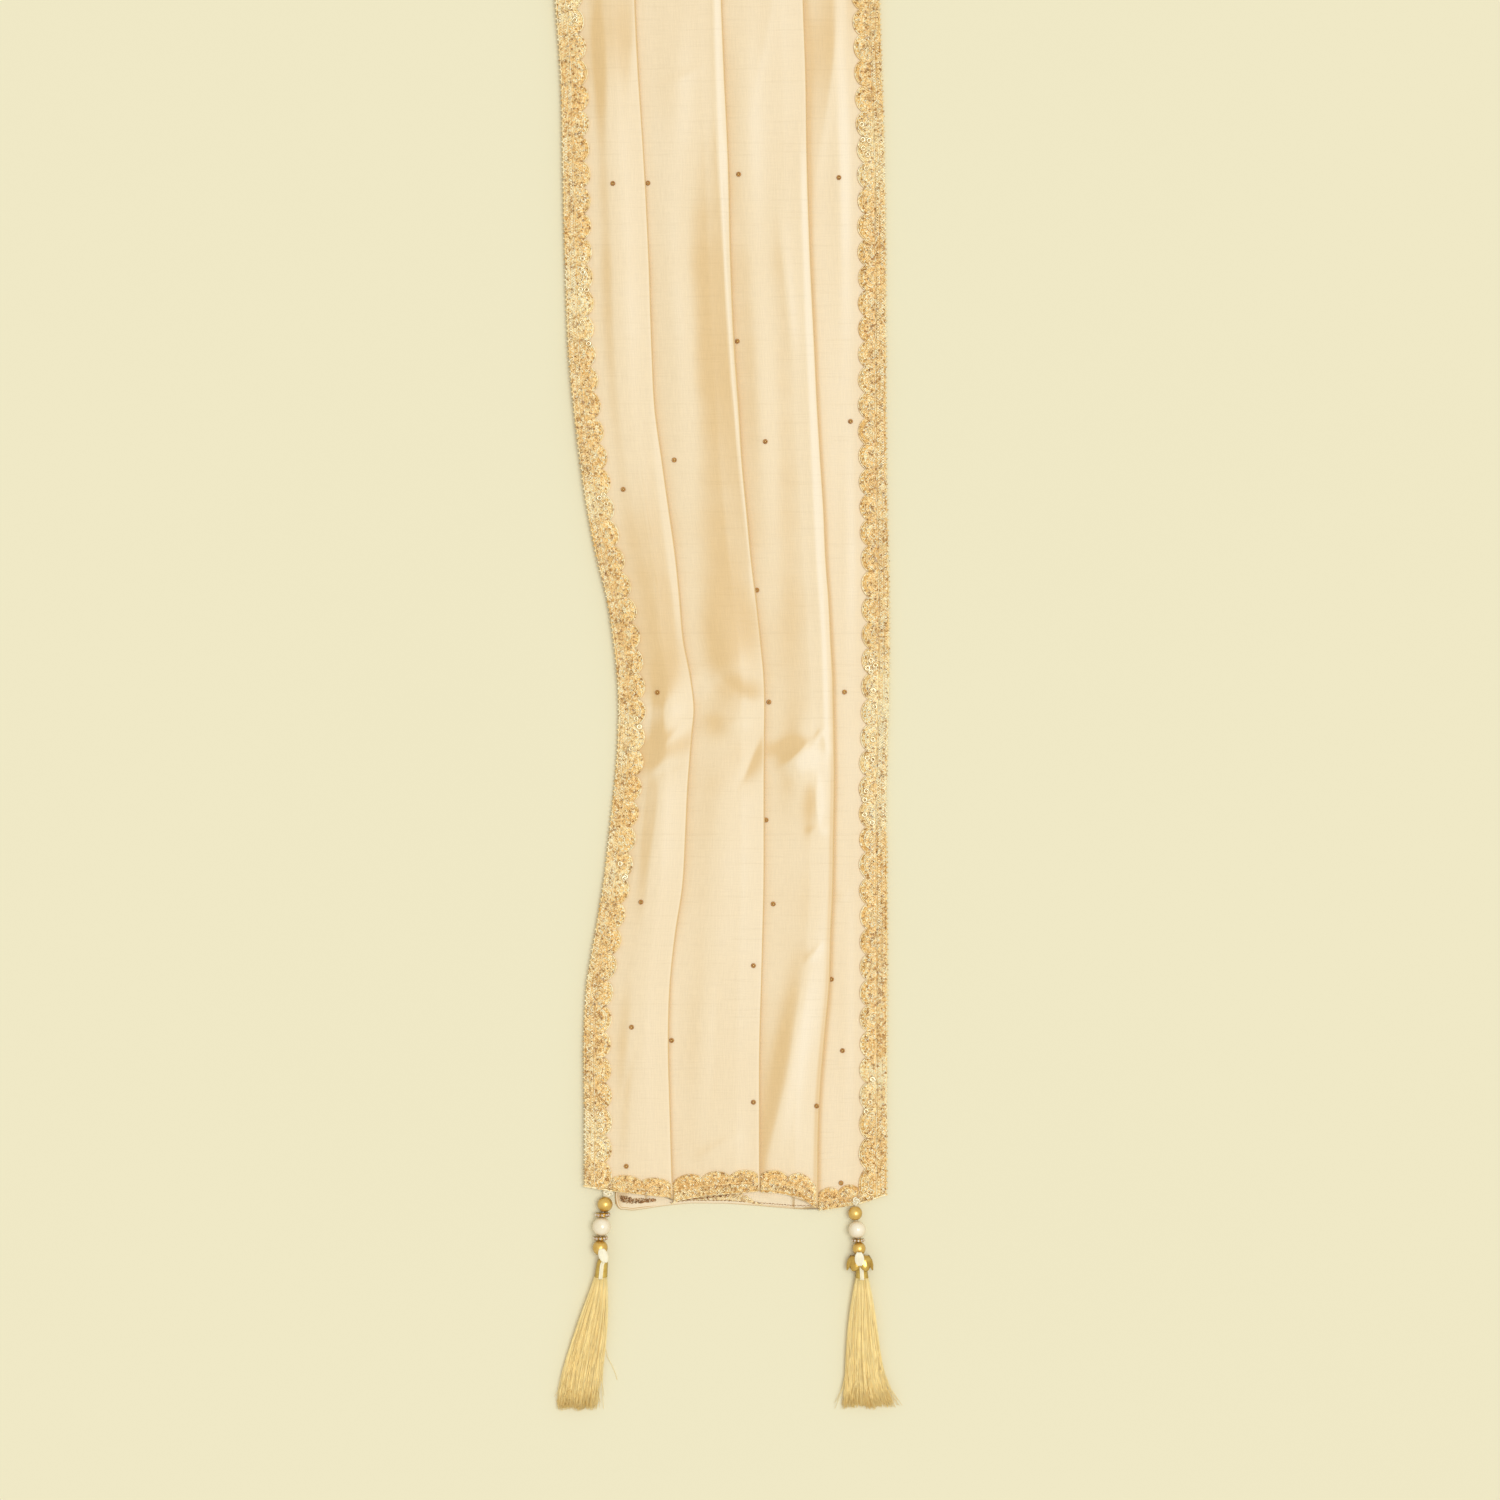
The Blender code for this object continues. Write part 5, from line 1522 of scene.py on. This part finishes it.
def make_rondelle(name):
    """Two wavy gold flanges with a ring of rhinestones set between them."""
    centre, half = box_of(name)
    radius = half[0]
    thick = half[1]

    def wave(turn):
        return 1.0 - 0.05 * (1.0 - np.cos(turn * RHINESTONES)) / 2.0

    metal = Gather()
    for end in (-1.0, 1.0):
        profile = [(end * thick, 0.6), (end * thick, radius * 0.9), (end * thick * 0.75, radius),
                   (end * thick * 0.45, radius * 0.92), (end * thick * 0.45, 0.6)]
        if end > 0:
            profile.reverse()
        metal.add(*closed_turned(centre, profile, 40, radius_at=wave))
    core = [(thick * 0.5, 0.7), (thick * 0.5, radius * 0.74),
            (-thick * 0.5, radius * 0.74), (-thick * 0.5, 0.7)]
    metal.add(*closed_turned(centre, core, 24))
    setting = make_piece(f"{name}_setting", metal, BRIGHT_GOLD, [name], sharp=35.0)
    stones = Gather()
    ring = radius * 0.84
    for k in range(RHINESTONES):
        turn = 2.0 * math.pi * (k + 0.5) / RHINESTONES
        place = centre + np.array((ring * math.cos(turn), 0.0, ring * math.sin(turn)))
        stones.add(*ball(place, radius * 0.2, 4, 6))
    return [setting, make_piece(f"{name}_stones", stones, CRYSTAL, sharp=10.0)]


def make_knot(name):
    """An overhand knot of the tassel's thread, pulled flat against the hem."""
    centre, half = box_of(name)
    t = 2.0 * np.pi * np.arange(60) / 60
    reach = 2.0 + np.cos(3.0 * t)
    thread = 0.22 * half[0]
    path = np.stack([
        reach * np.cos(2.0 * t) / 3.0 * (half[0] - thread),
        reach * np.sin(2.0 * t) / 3.0 * (half[1] + 0.5),
        np.sin(3.0 * t) * (half[2] - thread)], axis=-1)
    gathered = Gather()
    gathered.add(*tube(centre + path, thread, 6, closed=True), 0.85)
    return make_piece(f"{name}_thread", gathered, CORD_SILK, [name])


def make_thread(side):
    """The thread that the beads hang on, from the knot to the tassel's neck."""
    centres = [box_of(name)[0] for name in CHAINS[side]]
    neck = SKIRTS[side][0]
    centres.append(np.array((neck[1], neck[0], neck[3])))
    gathered = Gather()
    gathered.add(*tube(np.array(centres), 0.35, 6), 0.8)
    return make_piece(f"{side}_bead_thread", gathered, CORD_SILK)


# Tassels: sections of neck and skirt as along, x, half width, z and half height
SKIRTS = {
    "left": (
        (-42.5, -73.6, 1.3, 4.7, 1.3), (-44.6, -73.9, 2.7, 4.7, 2.7),
        (-46.6, -74.2, 3.4, 4.6, 3.4), (-55.2, -75.1, 3.9, 4.3, 3.5),
        (-70.0, -77.6, 7.2, 4.0, 3.4), (-98.0, -83.4, 11.4, 3.4, 2.8),
        (-134.5, -89.4, 12.4, 2.5, 1.9),
    ),
    "right": (
        (-43.5, 80.6, 1.3, 4.8, 1.3), (-45.5, 80.8, 2.7, 4.8, 2.7),
        (-47.5, 81.0, 3.3, 4.7, 3.3), (-55.6, 81.6, 3.9, 4.3, 3.5),
        (-72.0, 81.8, 7.4, 4.0, 3.4), (-100.0, 82.4, 10.8, 3.4, 2.8),
        (-133.5, 85.6, 16.4, 2.5, 1.9),
    ),
}
NECK_ROWS = 4
STRANDS = 950
STRAND_POINTS = 9
STRAND_RADIUS = 0.19
STRAND_STRAY = 0.06
LOOSE_STRAY = 0.22
LOOSE_SHARE = 0.20
LOWEST_STRAND = 0.35
WINDING_STEP = 0.55


def neck_section(side, along):
    """x, half width, z and half height of a tassel's neck at distances from the near hem."""
    rows = np.array(SKIRTS[side])[:NECK_ROWS]
    return [np.interp(-along, -rows[:, 0], rows[:, k]) for k in range(1, 5)]


def skirt_section(side, along):
    """The same for a whole tassel, whose skirt flares in one smooth curve."""
    lower = np.array(SKIRTS[side])[NECK_ROWS - 1:]
    columns = []
    for k, above in enumerate(neck_section(side, along), start=1):
        cubic = np.polyfit(lower[:, 0], lower[:, k], 3)
        columns.append(np.where(along > lower[0, 0], above, np.polyval(cubic, along)))
    return columns


def make_strands(side):
    """Fine loose silk strands that flare from the neck to ragged ends."""
    draw = np.random.default_rng(41 if side == "left" else 42)
    rows = SKIRTS[side]
    top = rows[NECK_ROWS - 1][0] + 1.2
    angle = draw.uniform(0.0, 2.0 * np.pi, STRANDS)
    out = np.sqrt(draw.uniform(0.0, 1.0, STRANDS))
    gathered = Gather()
    for k in range(STRANDS):
        outward = out[k] * np.cos(angle[k])
        uneven = 0.007 * math.sin(7.0 * outward + 1.0) + 0.006 * math.sin(19.0 * outward)
        bottom = rows[-1][0] * (1.002 + uneven - abs(draw.normal(0.0, 0.028)))
        t = np.linspace(0.0, 1.0, STRAND_POINTS)
        along = top + (bottom - top) * t
        x, half_width, z, half_height = skirt_section(side, along)
        stray = LOOSE_STRAY if draw.random() < LOOSE_SHARE else STRAND_STRAY
        sway = draw.normal(0.0, 0.06) * np.sin(t * np.pi * draw.uniform(0.8, 2.2)) + (
            draw.normal(0.0, stray) * t ** 4)
        a = np.clip(0.94 * outward + sway * t, -1.3, 1.3)
        b = 0.92 * out[k] * np.sin(angle[k]) * np.ones(STRAND_POINTS)
        height = np.maximum(z + half_height * b, LOWEST_STRAND)
        path = np.stack([x + half_width * a, along, height], axis=-1)
        radius = STRAND_RADIUS * (1.0 - 0.35 * t ** 4)
        shade = draw.uniform(0.45, 1.0) - 0.42 * smooth_step((t - 0.84) / 0.16)
        gathered.add(*tube(path, radius), np.repeat(shade, 3))
    return make_piece(f"{side}_tassel_strands", gathered, TASSEL_SILK,
                      [f"{side}_tassel"])


def make_winding(side):
    """The neck, wound round and round with gold thread."""
    rows = np.array(SKIRTS[side])[:NECK_ROWS]
    along = np.arange(rows[0, 0], rows[-1, 0] - 0.01, -WINDING_STEP / 4.0)
    x, half_width, z, half_height = neck_section(side, along)
    turn = 2.0 * np.pi * np.arange(28) / 28
    phase = 2.0 * np.pi * along[:, None] / WINDING_STEP + turn[None, :]
    ridge = 0.12 * np.abs(np.sin(phase / 2.0)) - 0.06
    points = np.stack(np.broadcast_arrays(
        x[:, None] + (half_width[:, None] + ridge) * np.cos(turn),
        along[:, None],
        z[:, None] + (half_height[:, None] + ridge) * np.sin(turn)), axis=-1)
    rings = (len(along), len(turn))
    gathered = Gather()
    gathered.add(points, [ring_faces(*rings), fan_caps(*rings)], 0.6)
    return make_piece(f"{side}_tassel_winding", gathered, WOUND_GOLD)


# Silk loops over the last beads
LOOP_LEAN = {"left": 2.0, "right": 0.3}
LOOP_WIDTH = 0.95
LOOP_LENGTH = 1.25
LOOP_THREADS = 9
LOOP_CORD = 0.55
LOOP_LAYERS = (1.0, 0.2, -0.6)


def make_loop(side):
    """A bunch of pale silk threads over the last bead, and its tail down the neck."""
    centre, half = box_of(f"{side}_loop")
    t = np.linspace(0.0, 1.0, 14)
    spindle = np.sin(np.pi * (0.05 + 0.90 * t)) ** 0.6
    lean = LOOP_LEAN[side] * (t - 0.5)
    gathered = Gather()
    draw = np.random.default_rng(61 if side == "left" else 62)
    for layer in LOOP_LAYERS:
        for share in np.linspace(-1.0, 1.0, LOOP_THREADS):
            wide = (half[0] * LOOP_WIDTH - LOOP_CORD) * share * spindle
            deep = (half[2] - LOOP_CORD) * layer * math.sqrt(1.0 - 0.75 * share ** 2) * spindle
            path = np.stack([
                centre[0] + wide + lean,
                centre[1] + half[1] * LOOP_LENGTH * (1.0 - 2.0 * t),
                centre[2] + deep], axis=-1)
            gathered.add(*tube(path, LOOP_CORD, 6), draw.uniform(0.62, 1.0))
    start = centre[1] - half[1] * LOOP_LENGTH * 0.7
    along = np.linspace(start, SKIRTS[side][NECK_ROWS - 1][0] - 0.8, 12)
    x, _, z, half_height = neck_section(side, along)
    ease = smooth_step((along - along[0]) / (along[-1] - along[0]) * 4.0)
    for share in (-1.0, 0.0, 1.0):
        path = np.stack([
            (centre[0] + lean[-1] * 0.6) * (1.0 - ease) + x * ease + 0.75 * share,
            along,
            z + half_height + 0.15 - 0.12 * abs(share)], axis=-1)
        gathered.add(*tube(path, 0.48, 6), draw.uniform(0.7, 1.0))
    return make_piece(f"{side}_loop_threads", gathered, CORD_SILK, [f"{side}_loop"])


# The right tassel's bell cap: its profile rows are (offset along the thread, radius)
CAP_X = 80.3
CAP_ALONG = -42.3
CAP_Z = 4.8
CAP_SQUASH = 0.58
CAP_LOBES = 6
CAP_SIDES = 96
CAP_PROFILE = (
    (0.0, 1.2), (0.3, 2.6), (0.3, 4.2), (-0.5, 5.9), (-2.2, 7.2), (-5.0, 7.9), (-8.6, 7.9),
    (-8.9, 7.6), (-8.6, 7.3), (-5.0, 7.2), (-2.6, 6.5), (-1.2, 5.2), (-0.4, 3.8), (-0.4, 1.2),
)
CAP_RIM_ROWS = (6, 7, 8)
CAP_RIM_CUT = 2.6


def make_bell_cap():
    """A thin gold cup of six petals with a raised rib down the middle of each."""
    turn = 2.0 * np.pi * np.arange(CAP_SIDES) / CAP_SIDES
    between = 1.0 - np.abs(np.cos(turn * CAP_LOBES / 2.0))
    rib = 0.18 * np.abs(np.cos(turn * CAP_LOBES / 2.0)) ** 12
    rings = []
    for row, (offset, radius) in enumerate(CAP_PROFILE):
        share = smooth_step((radius - 4.0) / 3.4)
        cut = CAP_RIM_CUT * between * share ** 3
        out = radius - cut * 0.3 + (rib * share if row <= CAP_RIM_ROWS[0] else 0.0)
        rings.append(np.stack([
            CAP_X + out * np.cos(turn), CAP_ALONG + offset + cut,
            CAP_Z + out * CAP_SQUASH * np.sin(turn)], axis=-1))
    gathered = Gather()
    gathered.add(np.stack(rings), [ring_faces(len(CAP_PROFILE), CAP_SIDES, True)])
    return make_piece("right_bell_cap_petals", gathered, BRIGHT_GOLD,
                      ["right_bell_cap"])


STRAY_THREAD = (
    (-72.5, -98.0, 2.2), (-71.0, -104.0, 1.6), (-68.2, -109.5, 0.8), (-66.4, -114.0, 0.5),
    (-65.4, -117.6, 0.4),
)
STRAY_THREAD_RADIUS = 0.16


def make_stray_thread():
    """One loose thread that has strayed from the left tassel's skirt."""
    gathered = Gather()
    gathered.add(*tube(STRAY_THREAD, STRAY_THREAD_RADIUS), 0.7)
    return make_piece("left_stray_thread", gathered, TASSEL_SILK)


def make_tassels():
    """Both tassels: beads, loops, wound necks and strands, and the right one's bell cap."""
    for side in ("left", "right"):
        for name in CHAINS[side]:
            if "pearl" in name:
                make_pearl_bead(name)
            elif "rondelle" in name:
                make_rondelle(name)
            else:
                make_knot(name)
        make_thread(side)
        make_loop(side)
        make_winding(side)
        make_strands(side)
    make_bell_cap()
    make_stray_thread()


FLOOR_REACH = 6.0
FLOOR_DROP = 0.0002


def make_stage():
    """A plain pale floor."""
    mesh = bpy.data.meshes.new("floor")
    corners = [(FLOOR_REACH * x, FLOOR_REACH * y, 0.0) for x, y in ((-1, -1), (1, -1), (1, 1), (-1, 1))]
    mesh.from_pydata(corners, [], [(0, 1, 2, 3)])
    mesh.materials.append(FLOOR)
    floor = bpy.data.objects.new("floor", mesh)
    floor.location.z = -FLOOR_DROP
    bpy.context.collection.objects.link(floor)


# The photo's frame: 0.9 m square, seen from straight above
VIEW_X = 0.016
VIEW_Y = -0.672
VIEW_WIDTH = 0.900
VIEW_RISE = 0.004
LENS = 85.0
SENSOR = 36.0


def make_camera():
    """A camera that looks straight down on the near half of the stole."""
    data = bpy.data.cameras.new("camera")
    data.lens = LENS
    data.sensor_width = SENSOR
    camera = bpy.data.objects.new("camera", data)
    camera.location = (VIEW_X, VIEW_Y, VIEW_WIDTH * LENS / SENSOR + VIEW_RISE)
    bpy.context.collection.objects.link(camera)
    bpy.context.scene.camera = camera


LIGHT_STRENGTH = 1.62
LIGHT_SPREAD = 34.0
LIGHT_COLOUR = (0.86, 0.93, 1.0)
LIGHT_TILT = (-4.0, 15.0, 0.0)
ROOM_COLOUR = (1.0, 0.95, 0.87, 1.0)
ROOM_STRENGTH = 0.63


def make_lights():
    """A broad soft light from overhead, a little from the right, and warm surroundings."""
    key = bpy.data.lights.new("key", "SUN")
    key.energy = LIGHT_STRENGTH
    key.angle = math.radians(LIGHT_SPREAD)
    key.color = LIGHT_COLOUR
    lamp = bpy.data.objects.new("key", key)
    lamp.rotation_euler = [math.radians(turn) for turn in LIGHT_TILT]
    bpy.context.collection.objects.link(lamp)
    world = bpy.data.worlds.new("studio")
    world.use_nodes = True
    surroundings = world.node_tree.nodes["Background"].inputs
    surroundings["Color"].default_value = ROOM_COLOUR
    surroundings["Strength"].default_value = ROOM_STRENGTH
    bpy.context.scene.world = world
    bpy.context.scene.view_settings.view_transform = "Standard"


make_camera()
pleats = make_pleats()
hidden = make_hidden_layers()
side_laces = {1: make_side_lace("left", 1), 4: make_side_lace("right", 4)}
hem_laces = {}
for pleat, near_width, far_width, scallops in HEM_LACE:
    hem_laces[pleat] = make_hem_lace(pleat, near_width, scallops, False)
    hem_laces[pleat] += make_hem_lace(pleat, far_width, scallops, True)
stitches = {1: make_stitches("left", 1), 4: make_stitches("right", 4)}
under_trim = make_under_layer_trim()
make_sequins()
make_lace_sequins()
make_tassels()
make_stage()
make_lights()
